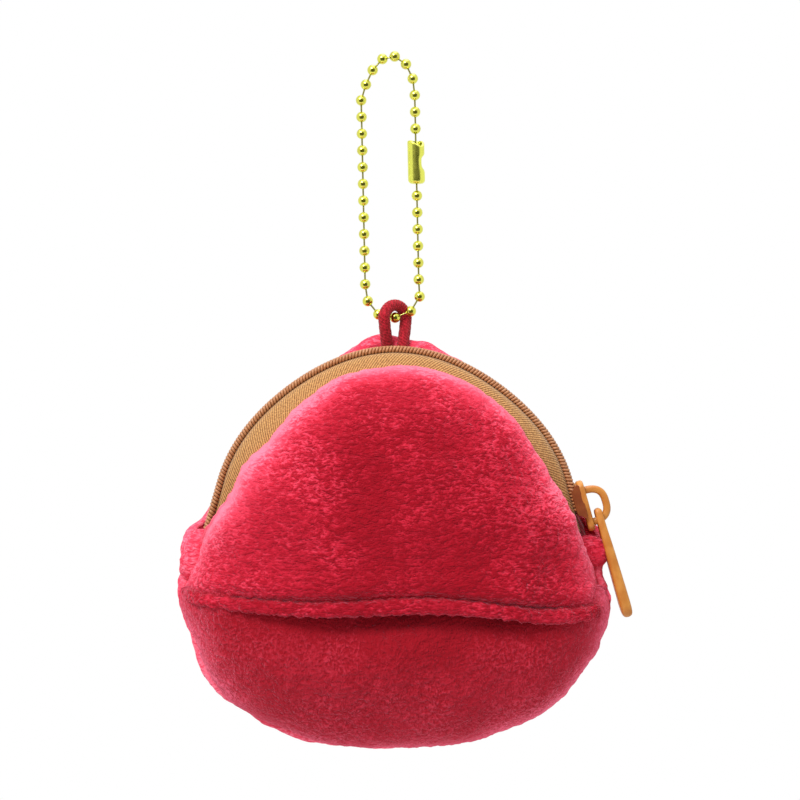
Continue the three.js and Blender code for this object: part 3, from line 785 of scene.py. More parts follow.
def build(name: str, *patches: Patch) -> bpy.types.Object:
    """Makes one object of patches.

    Args:
        name: Its name.
        patches: The patches.

    Returns:
        The object.
    """
    found, first = [], 0
    for patch in patches:
        found.append(patch.arrays(first))
        first += len(found[-1][0])
    spots, faces, lies, edges = zip(*found)
    spots = np.vstack([points + patch.origin for points, patch in zip(spots, patches)])
    return solid(name, spots, sum(faces, []), np.vstack(lies), np.vstack(edges))


def ruffled(
    points: np.ndarray, middle: Colour, seed: float, layers: Sequence[tuple[float, Colour, float]]
) -> np.ndarray:
    """Moves points towards and away from a middle by noise.

    Args:
        points: Rows and columns of points.
        middle: The place that they move away from.
        seed: Where in the noise the piece starts.
        layers: For each layer its frequency per millimetre, its stretch and its height.

    Returns:
        The moved points.
    """
    flat = points.reshape(-1, 3)
    push = np.zeros(len(flat))
    for frequency, stretch, height in layers:
        places = flat * (np.array(stretch) * frequency) + seed
        push += height * np.fromiter((noise.noise(place) for place in places), float, len(flat))
    away = flat - np.array(middle)
    away /= np.maximum(np.linalg.norm(away, axis=1, keepdims=True), 1e-6)
    return (flat + away * push[:, None]).reshape(points.shape)


def swept(
    path: np.ndarray, radius: float, sides: int, origin: Sequence[float] = tuple(ZIP_MIDDLE),
    squash: Callable[[np.ndarray], np.ndarray] | None = None,
) -> Patch:
    """A tube along a path, with closed ends.

    Args:
        path: The points it follows.
        radius: Its radius.
        sides: How many columns it has.
        origin: What the points are measured from.
        squash: Gives a factor on the radius for each angle, if the tube isn't round.

    Returns:
        The tube.
    """
    ahead = unit(np.gradient(path, axis=0))
    side = np.cross(ahead[0], (0.0, 1.0, 0.0))
    if np.linalg.norm(side) < 0.3:
        side = np.cross(ahead[0], (1.0, 0.0, 0.0))
    frames = []
    for direction in ahead:
        side = unit(side - direction * side.dot(direction))
        frames.append((side, np.cross(direction, side)))
    across, up = np.array(frames).transpose(1, 0, 2)[:, :, None]
    angle = around(sides)[:, None]
    ring = across * np.cos(angle) + up * np.sin(angle)
    reach = radius * (np.ones(sides) if squash is None else squash(angle[:, 0]))
    points = path[:, None] + ring * reach[:, None]
    lie = np.zeros(points.shape)
    lie[..., 0], lie[..., 1] = running(path)[:, None], angle[:, 0] * radius
    points = np.concatenate([path[:1, None].repeat(sides, 1), points, path[-1:, None].repeat(sides, 1)])
    return Patch(points, origin, ring=True, lie=np.concatenate([lie[:1], lie, lie[-1:]]))


def keep(
    piece: bpy.types.Object, finish: Finish, slot: str, body: str, nodes: Sequence[str] = (),
    span: Sequence[Colour] = (),
) -> None:
    """Dresses a piece, puts it on its body, says which nodes it stands for and reports it.

    Args:
        piece: The piece, in place.
        finish: Its finish.
        slot: The record's material slot.
        body: The body it rides on.
        nodes: The CAD nodes it replaces.
        span: Two places between which it bends from the purse to its body, if it bends.
    """
    finish.on(piece)
    if span:
        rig.blend(piece, "purse", body, *(tuple((ZIP_MIDDLE + place) * MM) for place in span))
    else:
        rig.ride(piece, body)
    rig.slot(piece, slot)
    if nodes:
        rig.replaces(piece, *nodes)
    LOG.info("%s: %d points", piece.name, len(piece.data.vertices))


def keep_half(piece: bpy.types.Object, side: int, finish: Finish, slot: str, *nodes: str) -> None:
    """Keeps a piece of the front, which bends as the mouth opens, or of the back, which stays."""
    keep(piece, finish, slot, *(("lid", nodes, OPENING) if side < 0 else ("purse", nodes)))


def modified(piece: bpy.types.Object, kind: str, **settings: Any) -> bpy.types.Object:
    """Adds a modifier.

    Args:
        piece: The piece.
        kind: The modifier's type.
        settings: Its properties.

    Returns:
        The piece.
    """
    modifier = piece.modifiers.new(kind, kind)
    for key, value in settings.items():
        setattr(modifier, key, value)
    return piece


def merge_close(piece: bpy.types.Object, gap: float = 0.0005) -> bpy.types.Object:
    """Welds points that lie on each other, such as a tube's end caps."""
    return modified(piece, "WELD", merge_threshold=gap * MM)


def thickened(piece: bpy.types.Object, thickness: float) -> bpy.types.Object:
    """Gives a sheet its thickness, inwards."""
    return modified(piece, "SOLIDIFY", thickness=thickness * MM, offset=-1.0)


# Chain


@dataclass
class BallChain:
    """The closed ball chain with its connector, measured from the hang point."""

    ball: float = 2.4
    pitch: float = 3.75
    wire: float = 0.4
    dimple_angle: float = 0.13
    dimple_depth: float = 0.24
    top_slopes: Sequence[float] = (73, 65, 48, 11, -35, -65, -83)
    top_closing: float = 0.26
    bottom_slopes: Sequence[float] = (-88, -58, -18, 15, 52, 86)
    strand_links: int = 11
    lean: float = 1.25
    yaw: float = 6.0
    connector_from_top: int = 4
    connector_half_span: int = 2
    end_ball_offset: float = 3.1
    sleeve_length: float = 9.65
    sleeve_radius: float = 1.9
    sleeve_wall: float = 0.32
    sleeve_bore: float = 0.75
    foot_round: float = 0.9
    mouth_round: float = 0.35
    notch_half: float = 1.55
    notch_depth: float = 0.8
    mouth_drop: float = 1.3
    mouth_turn: float = 0.9

    def bend(self, slopes: Sequence[float], closing: float) -> np.ndarray:
        """Ball centres of a bend, as complex numbers whose imaginary part is the height.

        Args:
            slopes: Each link's slope in degrees, from left to right.
            closing: The share of its length that a level link gives up as its balls close up.

        Returns:
            The centres, from the left end.
        """
        heading = np.exp(1j * np.radians(slopes))
        links = self.pitch * (1 - closing * heading.real ** 2) * heading
        return np.concatenate([[0], np.cumsum(links)])

    def __post_init__(self) -> None:
        """Works out both bends and where the straight strands start."""
        top, bottom = self.bend(self.top_slopes, self.top_closing), self.bend(self.bottom_slopes, 0.0)
        self.span = top[-1]
        self.top = top - self.span / 2
        self.bottom = bottom * (self.span / bottom[-1]) - self.span / 2
        self.pivot_up = self.ball / 2 - self.top.imag.max()

    def on_strand(self, side: int, links: float) -> np.ndarray:
        """A place on the left strand, the right strand or midway, some links down."""
        downwards = -1j * np.exp(1j * math.radians(self.lean))
        return self.turned(side * self.span / 2 + 1j * self.pivot_up + links * self.pitch * downwards)

    def turned(self, spot: complex) -> np.ndarray:
        """A place in the chain's plane, turned about the hang line."""
        yaw = math.radians(self.yaw)
        return np.array((spot.real * math.cos(yaw), -spot.real * math.sin(yaw), spot.imag))

    def balls(self) -> list[np.ndarray]:
        """Sets out the chain.

        Returns:
            The centres of the 34 balls, from the upper end ball round to the lower one.
        """
        held, end = self.connector_from_top, self.end_ball_offset / self.pitch
        middle = self.on_strand(0, self.strand_links)
        below = range(self.strand_links - 1, held + self.connector_half_span - 1, -1)
        return [
            self.on_strand(1, held - end),
            *(self.on_strand(1, link) for link in range(held - self.connector_half_span, 0, -1)),
            *(self.turned(spot + 1j * self.pivot_up) for spot in self.top[::-1]),
            *(self.on_strand(-1, link) for link in range(1, self.strand_links)),
            *(middle + self.turned(spot) for spot in self.bottom),
            *(self.on_strand(1, link) for link in below),
            self.on_strand(1, held + end),
        ]

    def ball_patch(self, centre: np.ndarray, ahead: np.ndarray) -> Patch:
        """A ball with a small dimple where each link wire goes in.

        Args:
            centre: The ball's centre.
            ahead: The direction of the chain through it.

        Returns:
            The ball.
        """
        radius, hole = self.ball / 2, self.wire * 0.45
        polar = np.linspace(self.dimple_angle, math.pi - self.dimple_angle, 17)
        floor = radius - self.dimple_depth
        reach = np.concatenate([[hole], radius * np.sin(polar), [hole]])
        height = np.concatenate([[floor], radius * np.cos(polar), [-floor]])
        side = unit(np.cross(ahead, (0.0, 1.0, 0.0)))
        angle = around(24)[:, None]
        ring = side * np.cos(angle) + np.cross(ahead, side) * np.sin(angle)
        points = centre + ring * reach[:, None, None] + ahead * height[:, None, None]
        return Patch(points, HANG_POINT, ring=True, start_cap=True, pole=True)

    def build(self) -> None:
        """Builds the balls, the links and the connector of each body."""
        run = self.balls()
        bodies = frame["record"]["behaviour"]["bodies"]
        names = [f"bead_{number + 1:02d}" for number in range(len(run))]
        lowest = min(range(len(run)), key=lambda index: run[index][2])
        for body in ("chain_top", "left_strand", "right_strand", "chain_bottom", "chain_lowest"):
            mine = [index for index, name in enumerate(names) if name in bodies[body]]
            balls, links = [], []
            for index in mine:
                ahead = run[min(index + 1, len(run) - 1)] - run[max(index - 1, 0)]
                balls.append(self.ball_patch(run[index], unit(ahead)))
                if index != lowest:
                    reach = run[index + (1 if index < lowest else -1)] - run[index]
                    path = run[index] + reach * np.linspace(0.15, 0.85, 6)[:, None]
                    links.append(swept(path, self.wire / 2, 10, HANG_POINT))
            nodes = [names[index] for index in mine]
            keep(build(f"{body}_balls", *balls), Finish.CHAIN, "chain", body, nodes)
            if links:
                keep(merge_close(build(f"{body}_links", *links)), Finish.LINK_PAINTED_SHADE, "chain", body)
        self.connector()

    def connector(self) -> None:
        """Builds the sleeve that the two end balls snap into."""
        half, outer, wall = self.sleeve_length / 2, self.sleeve_radius, self.sleeve_wall
        inner, bore, foot, mouth = outer - wall, self.sleeve_bore, self.foot_round, self.mouth_round
        turn = np.linspace(0, math.pi / 2, 7)
        profile = np.array([
            (bore, -half),
            *((outer - foot + foot * math.sin(a), -half + foot - foot * math.cos(a)) for a in turn),
            *((outer, z) for z in np.linspace(-half + 1.6, half - 0.8, 22)),
            *((outer - mouth + mouth * math.cos(a), half - mouth + mouth * math.sin(a)) for a in turn),
            (inner - 0.25, half), (inner, half - 0.5),
            *((inner, z) for z in np.linspace(half - 1.0, -half + 1.2, 20)),
            (inner - 0.45, -half + wall + 0.15), (bore, -half + wall),
        ])
        angle, height = around(48), profile[:, 1:]
        dent = np.maximum(np.cos(angle), 0) ** 3 * np.exp(-(height / self.notch_half) ** 4)
        reach = profile[:, :1] - self.notch_depth * dent
        cut = np.maximum(np.cos(angle + self.mouth_turn), 0) ** 2 * smoothstep(height, 0, half)
        up = height - self.mouth_drop * cut
        across = reach * np.cos(angle) - up * math.sin(math.radians(self.lean))
        points = np.stack([across, reach * np.sin(angle), up], axis=-1)
        points = np.concatenate([points, points[:1]]) + self.on_strand(1, self.connector_from_top)
        piece = merge_close(build("connector_sleeve", Patch(points, HANG_POINT, ring=True)))
        keep(piece, Finish.SLEEVE, "chain", "connector", ["chain_connector"])


# Zip


@dataclass
class ZipLine:
    """The line of the zip: a slightly flattened arc with a straight run at each end."""

    radius: float = 41.1
    end_angle: float = 16.0
    flattening: float = 0.95
    left_run: float = 11.3
    right_run: float = 7.4

    def places(self, step: float, left_more: float = 0.0, right_more: float = 0.0) -> np.ndarray:
        """Places along the zip from its left end to its right.

        Args:
            step: The distance between places.
            left_more: What to add to the left run.
            right_more: What to add to the right run.

        Returns:
            Rows of x and z at radius 0, the outward x and z, and the run from the left end.
        """
        left = self.left_run + left_more
        return self.at(np.arange(0, left + self.arc_length() + (self.right_run + right_more), step), left)

    def arc_length(self) -> float:
        """Length of the arc between the two straight runs."""
        return math.radians(180 - 2 * self.end_angle) * self.radius

    def at(self, run: np.ndarray, left: float) -> np.ndarray:
        """Places at distances along the zip.

        Args:
            run: The distances from the left end.
            left: Length of the left run.

        Returns:
            Rows as places gives them.
        """
        arc = self.arc_length()
        on_arc = np.clip((run - left) / arc, 0, 1)
        angle = np.radians(180 - self.end_angle - on_arc * (180 - 2 * self.end_angle))
        cos, sin = np.cos(angle), np.sin(angle)
        along = np.where(run < left, run - left, np.maximum(run - left - arc, 0))
        inward = self.flattening * np.sin(2 * math.pi * on_arc) ** 2
        return np.stack([sin * along - cos * inward, -cos * along - sin * inward, cos, sin, run], axis=1)

    def points(self, places: np.ndarray, out: Any, y: Any) -> np.ndarray:
        """Points beside rows of places, at a radius and a depth, which may differ at each."""
        out, y, _ = np.broadcast_arrays(out, y, places[:, 0])
        return np.stack([places[:, 0] + places[:, 2] * out, y, places[:, 1] + places[:, 3] * out], axis=1)


@dataclass
class Zip:
    """The two coils and the two woven tapes of the zip."""

    line: ZipLine = field(default_factory=ZipLine)
    coil_height: float = 1.8
    coil_middle: float = 1.1
    coil_half_width: float = 1.05
    core_radius: float = 0.62
    filament: float = 0.64
    turn_pitch: float = 0.78
    turn_points: int = 14
    turn_slant: float = 0.42
    tape_thickness: float = 0.45
    tape_more_left: float = 1.0
    tape_more_right: float = 4.5
    tape_first: float = 0.2
    tape_narrow: float = 0.32
    tape_narrowing: float = 24.0
    tape_section: Sequence[Flat] = (
        (-1.95, 0.2), (-2.0, 1.2), (-2.15, 2.3), (-2.75, 3.3), (-3.9, 4.2), (-5.4, 5.2), (-7.2, 6.1),
    )

    def coil(self, side: int) -> Patch:
        """One half of the coil, wound round its core.

        Args:
            side: -1 for the front half, 1 for the back half.

        Returns:
            The wound filament.
        """
        run = self.line.places(self.turn_pitch / self.turn_points)[:, 4]
        phase = run / self.turn_pitch * 2 * math.pi + (math.pi if side > 0 else 0)
        places = self.line.at(run + self.turn_slant * np.cos(phase), self.line.left_run)
        radius, middle = self.filament / 2, self.line.radius - self.coil_height / 2
        out = middle + (self.coil_height / 2 - radius) * np.cos(phase)
        y = side * (self.coil_middle + (self.coil_half_width - radius) * np.sin(phase))
        return swept(self.line.points(places, out, y), radius, 8)

    def core(self, side: int) -> Patch:
        """The cord inside the coil's turns."""
        middle, y = self.line.radius - self.coil_height / 2, side * self.coil_middle
        return swept(self.line.points(self.line.places(0.8), middle, y), self.core_radius, 12)

    def tape(self, side: int) -> Patch:
        """One tape, from under its coil down behind the rim of its panel.

        Args:
            side: -1 for the front tape, 1 for the back tape.

        Returns:
            The tape's surface.
        """
        places = self.line.places(0.45, self.tape_more_left, self.tape_more_right)
        section = through(self.tape_section, 4)
        spare = np.minimum(places[:, 4], places[-1, 4] - places[:, 4])
        narrow = self.tape_narrow + (1 - self.tape_narrow) * smoothstep(spare, 0, self.tape_narrowing)
        first, radius = self.tape_first, self.line.radius
        points = np.array([
            self.line.points(places, radius + drop, side * (first + (stand - first) * narrow))
            for drop, stand in section
        ])
        lie = np.zeros(points.shape)
        lie[..., 0], lie[..., 1] = places[:, 4], running(section)[:, None]
        return Patch(points[:, ::-side], lie=lie[:, ::-side])

    def build(self) -> None:
        """Builds both halves: the front opens, the back stays."""
        for side, name in SIDES:
            turns = merge_close(build(f"{name}_coil_turns", self.coil(side)))
            core = merge_close(build(f"{name}_coil_core", self.core(side)))
            tape = thickened(build(f"{name}_tape_cloth", self.tape(side)), self.tape_thickness)
            keep_half(turns, side, Finish.COIL, "coil", f"{name}_coil")
            keep_half(core, side, Finish.CORE_PAINTED_SHADE, "coil")
            keep_half(tape, side, Finish.TAPE, "tape", f"{name}_tape")


# Slider


@dataclass
class Slider:
    """Slider, bridge and pull, in the line of the zip's right run.

    Heights out are measured from the middle of the zip's arc, and places along from the arc's end.
    """

    end_angle: float = 16.0
    start: float = 0.6
    length: float = 11.5
    plate_in: float = 41.4
    plate_thickness: float = 1.55
    half_width: float = 3.0
    nose_half_width: float = 1.9
    wing_start: float = 2.1
    wing_length: float = 6.0
    wing_foot: float = 39.9
    wing_thickness: float = 0.95
    inner_plate_in: float = 36.9
    inner_plate_thickness: float = 0.85
    bridge_start: float = 2.2
    bridge_length: float = 8.9
    bridge_rise: float = 5.0
    bridge_band: float = 1.65
    bridge_width: float = 2.2
    bridge_squareness: float = 0.72
    bar_squareness: float = 3.2
    pull_length: float = 24.3
    pull_half_width: float = 3.2
    pull_neck: float = 2.5
    pull_thickness: float = 2.4
    pull_rail_thickness: float = 2.25
    pull_eye_half: float = 1.55
    pull_eye_length: float = 5.4
    pull_bar: float = 1.15
    pull_lean: float = 16.07

    def place(self, out: Any, y: Any, along: Any) -> np.ndarray:
        """Points beside the end of the zip's right run.

        Args:
            out: How far out they are from the arc's middle.
            y: How far across the zip.
            along: How far along the run.

        Returns:
            The points.
        """
        turn, (out, y, along) = math.radians(self.end_angle), np.broadcast_arrays(out, y, along)
        cos, sin = math.cos(turn), math.sin(turn)
        return np.stack([out * cos + along * sin, y, out * sin - along * cos], axis=-1)

    def across(self, level: float, out: np.ndarray, along: np.ndarray) -> np.ndarray:
        """Points of an outline out and along the run, at a level across it."""
        return self.place(out, level, along)

    def plate(
        self, name: str, outline: np.ndarray, low: float, high: float, bevel: float,
        to_place: Callable[[float, np.ndarray, np.ndarray], np.ndarray],
    ) -> bpy.types.Object:
        """A flat shape given thickness, with rounded edges.

        Args:
            name: The piece's name.
            outline: Its outline, two numbers a point.
            low: Where its thickness starts.
            high: Where its thickness ends.
            bevel: Radius of its edges.
            to_place: Turns a level and the two outline numbers into a point.

        Returns:
            The piece.
        """
        count = len(outline)
        spots = np.vstack([to_place(level, *outline.T) for level in (low, high)])
        faces = [[i, (i + 1) % count, count + (i + 1) % count, count + i] for i in range(count)]
        faces += [list(range(count))[::-1], list(range(count, 2 * count))]
        piece = solid(name, spots + ZIP_MIDDLE, faces, spots, np.zeros(2 * count))
        angle = math.radians(40)
        modified(piece, "BEVEL", width=bevel * MM, segments=4, limit_method="ANGLE", angle_limit=angle)
        return modified(piece, "WEIGHTED_NORMAL", keep_sharp=True)

    def plate_outline(self, half: float, nose: float, low: float, high: float) -> np.ndarray:
        """Outline of a plate: narrow at its foot, broad at its head, with round corners.

        Args:
            half: Half its breadth.
            nose: Half the breadth of its nose.
            low: Where it starts along the run.
            high: Where its nose ends.

        Returns:
            The outline, across and along.
        """
        right = through([
            (0.0, low), (half * 0.62, low + 0.12), (half * 0.96, low + 1.1), (half, low + 2.6),
            (half * 0.98, low + 5.6), (nose * 1.08, high - 2.6), (nose * 0.94, high - 0.9),
            (nose * 0.45, high - 0.08), (0.0, high),
        ], 4)
        return np.vstack([right[:-1], (right * (-1, 1))[::-1][:-1]])

    def body(self) -> list[bpy.types.Object]:
        """The slider's plates, wings and post.

        Returns:
            The outer plate, the inner plate, the two wings and the post.
        """
        high, low_in, top = self.start + self.length, self.inner_plate_in, self.plate_in
        start, end, foot = self.wing_start, self.wing_start + self.wing_length, self.wing_foot
        half, nose = self.half_width, self.nose_half_width
        outer = self.plate_outline(half, nose, self.start, high)
        inner = self.plate_outline(half - 0.4, nose - 0.3, self.start + 0.6, high - 1.4)
        wing = through([
            (foot, start + 0.5), (foot + 0.4, start), (top + 0.5, start - 0.5), (top + 0.5, end + 0.6),
            (foot + 0.7, end + 0.1), (foot, end - 0.7),
        ], 3, closed=True)
        post = [(0.7, 1.3), (0.85, 2.4), (0.0, 4.2), (-0.85, 2.4), (-0.7, 1.3), (0.0, 0.9)]
        rims = (half - self.wing_thickness, half)
        parts = [
            ("slider_plate", outer, top, top + self.plate_thickness, 0.5, self.place),
            ("slider_inner_plate", inner, low_in, low_in + self.inner_plate_thickness, 0.3, self.place),
            *((f"slider_{name}_wing", wing, *sorted(side * rim for rim in rims), 0.28, self.across)
              for side, name in SIDES),
            ("slider_post", through(post, 3, closed=True), low_in + 0.5, top + 0.4, 0.15, self.place),
        ]
        return [self.plate(*part) for part in parts]

    def bar_factor(self, angle: np.ndarray) -> np.ndarray:
        """What makes the bridge's bar a rounded rectangle, wider across.

        Args:
            angle: Angles round the bar.

        Returns:
            Its radius at each.
        """
        power, band, width = self.bar_squareness, self.bridge_band / 2, self.bridge_width / 2
        thick, wide = np.abs(np.cos(angle) / band) ** power, np.abs(np.sin(angle) / width) ** power
        return (thick + wide) ** (-1 / power)

    def bridge(self) -> bpy.types.Object:
        """The bridge.

        Returns:
            The arched bar that holds the pull.
        """
        turn = np.linspace(0, math.pi, 41)
        power, band = self.bridge_squareness, self.bridge_band
        cos, sin = np.cos(turn), np.maximum(np.sin(turn), 0)
        half = (self.bridge_length - band) / 2
        along = self.bridge_start + self.bridge_length / 2 - half * np.sign(cos) * np.abs(cos) ** power
        foot = self.plate_in + self.plate_thickness - 0.35
        path = self.place(foot + (self.bridge_rise - band / 2) * sin**power, 0.0, along)
        return merge_close(build("slider_bridge_bar", swept(path, 1.0, 24, squash=self.bar_factor)))

    def pull_stations(self) -> list[tuple[float, float, float, float]]:
        """Sections of the pull's cage.

        Returns:
            Rows of height, half width, and half thickness at the flanks and in the middle.
        """
        bar, eye, half, neck = self.pull_bar / 2, self.pull_eye_length, self.pull_half_width, self.pull_neck
        flank, thick, low = self.pull_rail_thickness / 2, self.pull_thickness / 2, self.pull_length
        return [
            (bar + 0.1, neck - 0.4, 0.9 * flank, 0.62),
            (-bar, neck, flank, 0.66),
            (0.4 - eye / 2, neck + 0.1, flank, 0.66),
            (-eye, neck + 0.35, flank, 0.8),
            (-eye - 1.6, half, flank, 0.95),
            (-0.45 * low, half, 0.98 * thick, 1.08),
            (-0.68 * low, half, 1.02 * thick, thick),
            (-0.86 * low, half, 1.08 * thick, 1.05 * thick),
            (-0.955 * low, 0.84 * half, 1.05 * thick, 1.05 * thick),
            (-low - 0.25, 0.42 * half, 0.8 * thick, 0.8 * thick),
        ]

    def pull(self) -> bpy.types.Object:
        """The pull, a cage of boxes that is then smoothed.

        Returns:
            The long flat pull with its eye, hanging from the bridge.
        """
        stations = self.pull_stations()
        lean = math.radians(self.pull_lean)
        spots = []
        for up, half, flank, middle in stations:
            inner = min(self.pull_eye_half, 0.5 * half)
            for across, thick in ((-half, flank), (-inner, middle), (inner, middle), (half, flank)):
                spots += [
                    (depth * math.cos(lean) - up * math.sin(lean), across,
                     depth * math.sin(lean) + up * math.cos(lean))
                    for depth in (-thick, thick)
                ]
        filled = np.pad(np.ones((len(stations) - 1, 3), bool), 1)
        filled[2:4, 2] = False

        def face(*corners: tuple[int, int, int]) -> list[int]:
            """Numbers of a face's points, from the row, column and side of each."""
            return [(row * 4 + column) * 2 + side for row, column, side in corners]

        faces = []
        for row, column in (np.argwhere(filled) - 1).tolist():
            ring = [(row, column), (row, column + 1), (row + 1, column + 1), (row + 1, column)]
            faces += [face(*((*spot, 0) for spot in ring)), face(*((*spot, 1) for spot in ring[::-1]))]
            beyond = ((row - 1, column), (row, column + 1), (row + 1, column), (row, column - 1))
            for here, there, (down, over) in zip(ring, ring[1:] + ring[:1], beyond):
                if not filled[down + 1, over + 1]:
                    faces.append(face((*here, 1), (*there, 1), (*there, 0), (*here, 0)))
        spots = np.array(JOINTS["pull_swing"]["pos_m"]) / MM - ZIP_MIDDLE + np.array(spots)
        piece = solid("pull_tongue", spots + ZIP_MIDDLE, faces, spots, np.zeros(len(spots)))
        return modified(piece, "SUBSURF", levels=3, render_levels=3)

    def build(self) -> None:
        """Builds the slider's pieces on their two bodies."""
        for piece in self.body():
            nodes = ["slider_body"] if piece.name == "slider_plate" else []
            # The wings take the darker copy of the plastic, painted shade.
            finish = Finish.WING_PAINTED_SHADE if "wing" in piece.name else Finish.SLIDER
            keep(piece, finish, "slider", "slider", nodes)
        keep(self.bridge(), Finish.SLIDER, "slider", "slider", ["slider_bridge"])
        keep(self.pull(), Finish.SLIDER, "slider", "pull", ["pull_tab"])


# Padded panels


@dataclass
class Outline:
    """A closed outline, seen from the front."""

    points: Sequence[Flat]

    def __post_init__(self) -> None:
        """Draws the outline."""
        self.drawn = through(self.points, 12, closed=True)

    def reach(self, angle: np.ndarray, centre: Flat) -> np.ndarray:
        """Distance from a centre to the outline.

        Args:
            angle: Angles above the x axis, in radians.
            centre: The centre.

        Returns:
            The distance at each angle.
        """
        offset = self.drawn - np.array(centre)
        found = np.arctan2(offset[:, 1], offset[:, 0])
        order = np.argsort(found)
        found, far = found[order], np.hypot(offset[:, 0], offset[:, 1])[order]
        found = np.concatenate([found - 2 * math.pi, found, found + 2 * math.pi])
        return np.interp((angle + math.pi) % (2 * math.pi) - math.pi, found, np.tile(far, 3))


UPPER_EDGE = (
    (-46.6, -12.5), (-45.2, -8.4), (-42.9, -3.7), (-41.3, -0.3), (-38.7, 4.3), (-35.4, 9.5), (-32.6, 14.8),
    (-28.6, 19.5), (-24.5, 24.2), (-20.7, 28.6), (-13.0, 33.8), (-4.9, 36.2), (1.1, 36.9), (9.7, 35.8),
    (18.2, 31.0), (26.8, 24.2), (31.0, 17.7), (35.2, 11.4), (38.0, 5.8), (41.6, -1.4), (44.4, -7.8),
    (46.0, -13.0),
)
LOWER_RIGHT = (
    (47.0, -17.5), (46.4, -21.2), (45.2, -24.0), (44.4, -26.6), (42.3, -30.1), (40.0, -33.7), (37.3, -37.2),
    (32.4, -40.8), (24.0, -44.3), (14.0, -47.1),
)
LOWER_LEFT = (
    (-0.5, -48.1), (-15.0, -47.2), (-24.5, -44.3), (-31.8, -40.8), (-36.8, -37.2), (-40.0, -33.6),
    (-42.3, -30.0), (-43.6, -26.4), (-44.9, -23.0), (-46.4, -19.4), (-47.3, -16.0),
)
BACK_SHOULDER = (
    (-48.5, -13.6), (-48.2, -11.0), (-47.3, -8.8), (-47.3, -5.2), (-47.1, -2.0), (-46.0, 0.4), (-42.6, 2.9),
    (-40.2, 6.8), (-37.5, 13.0), (-33.5, 20.2), (-28.0, 27.2), (-21.5, 32.8), (-16.0, 36.2), (-12.2, 39.2),
    (-8.6, 41.6), (-4.6, 43.6), (0.0, 43.2), (4.2, 42.4), (7.2, 42.2), (10.4, 40.2), (13.8, 37.9),
    (19.0, 34.6), (26.5, 28.8), (33.0, 21.0), (37.4, 13.0), (40.2, 6.6), (44.6, 1.6), (46.9, -1.2),
    (47.2, -5.4), (46.3, -9.2), (47.6, -13.0),
)
BACK_LOWER_LEFT = (
    (-0.5, -48.2), (-15.0, -47.4), (-26.2, -44.4), (-33.3, -40.8), (-38.2, -37.2), (-41.3, -33.7),
    (-43.5, -30.1), (-44.6, -26.0), (-45.6, -22.6), (-47.2, -19.2), (-48.1, -16.4),
)


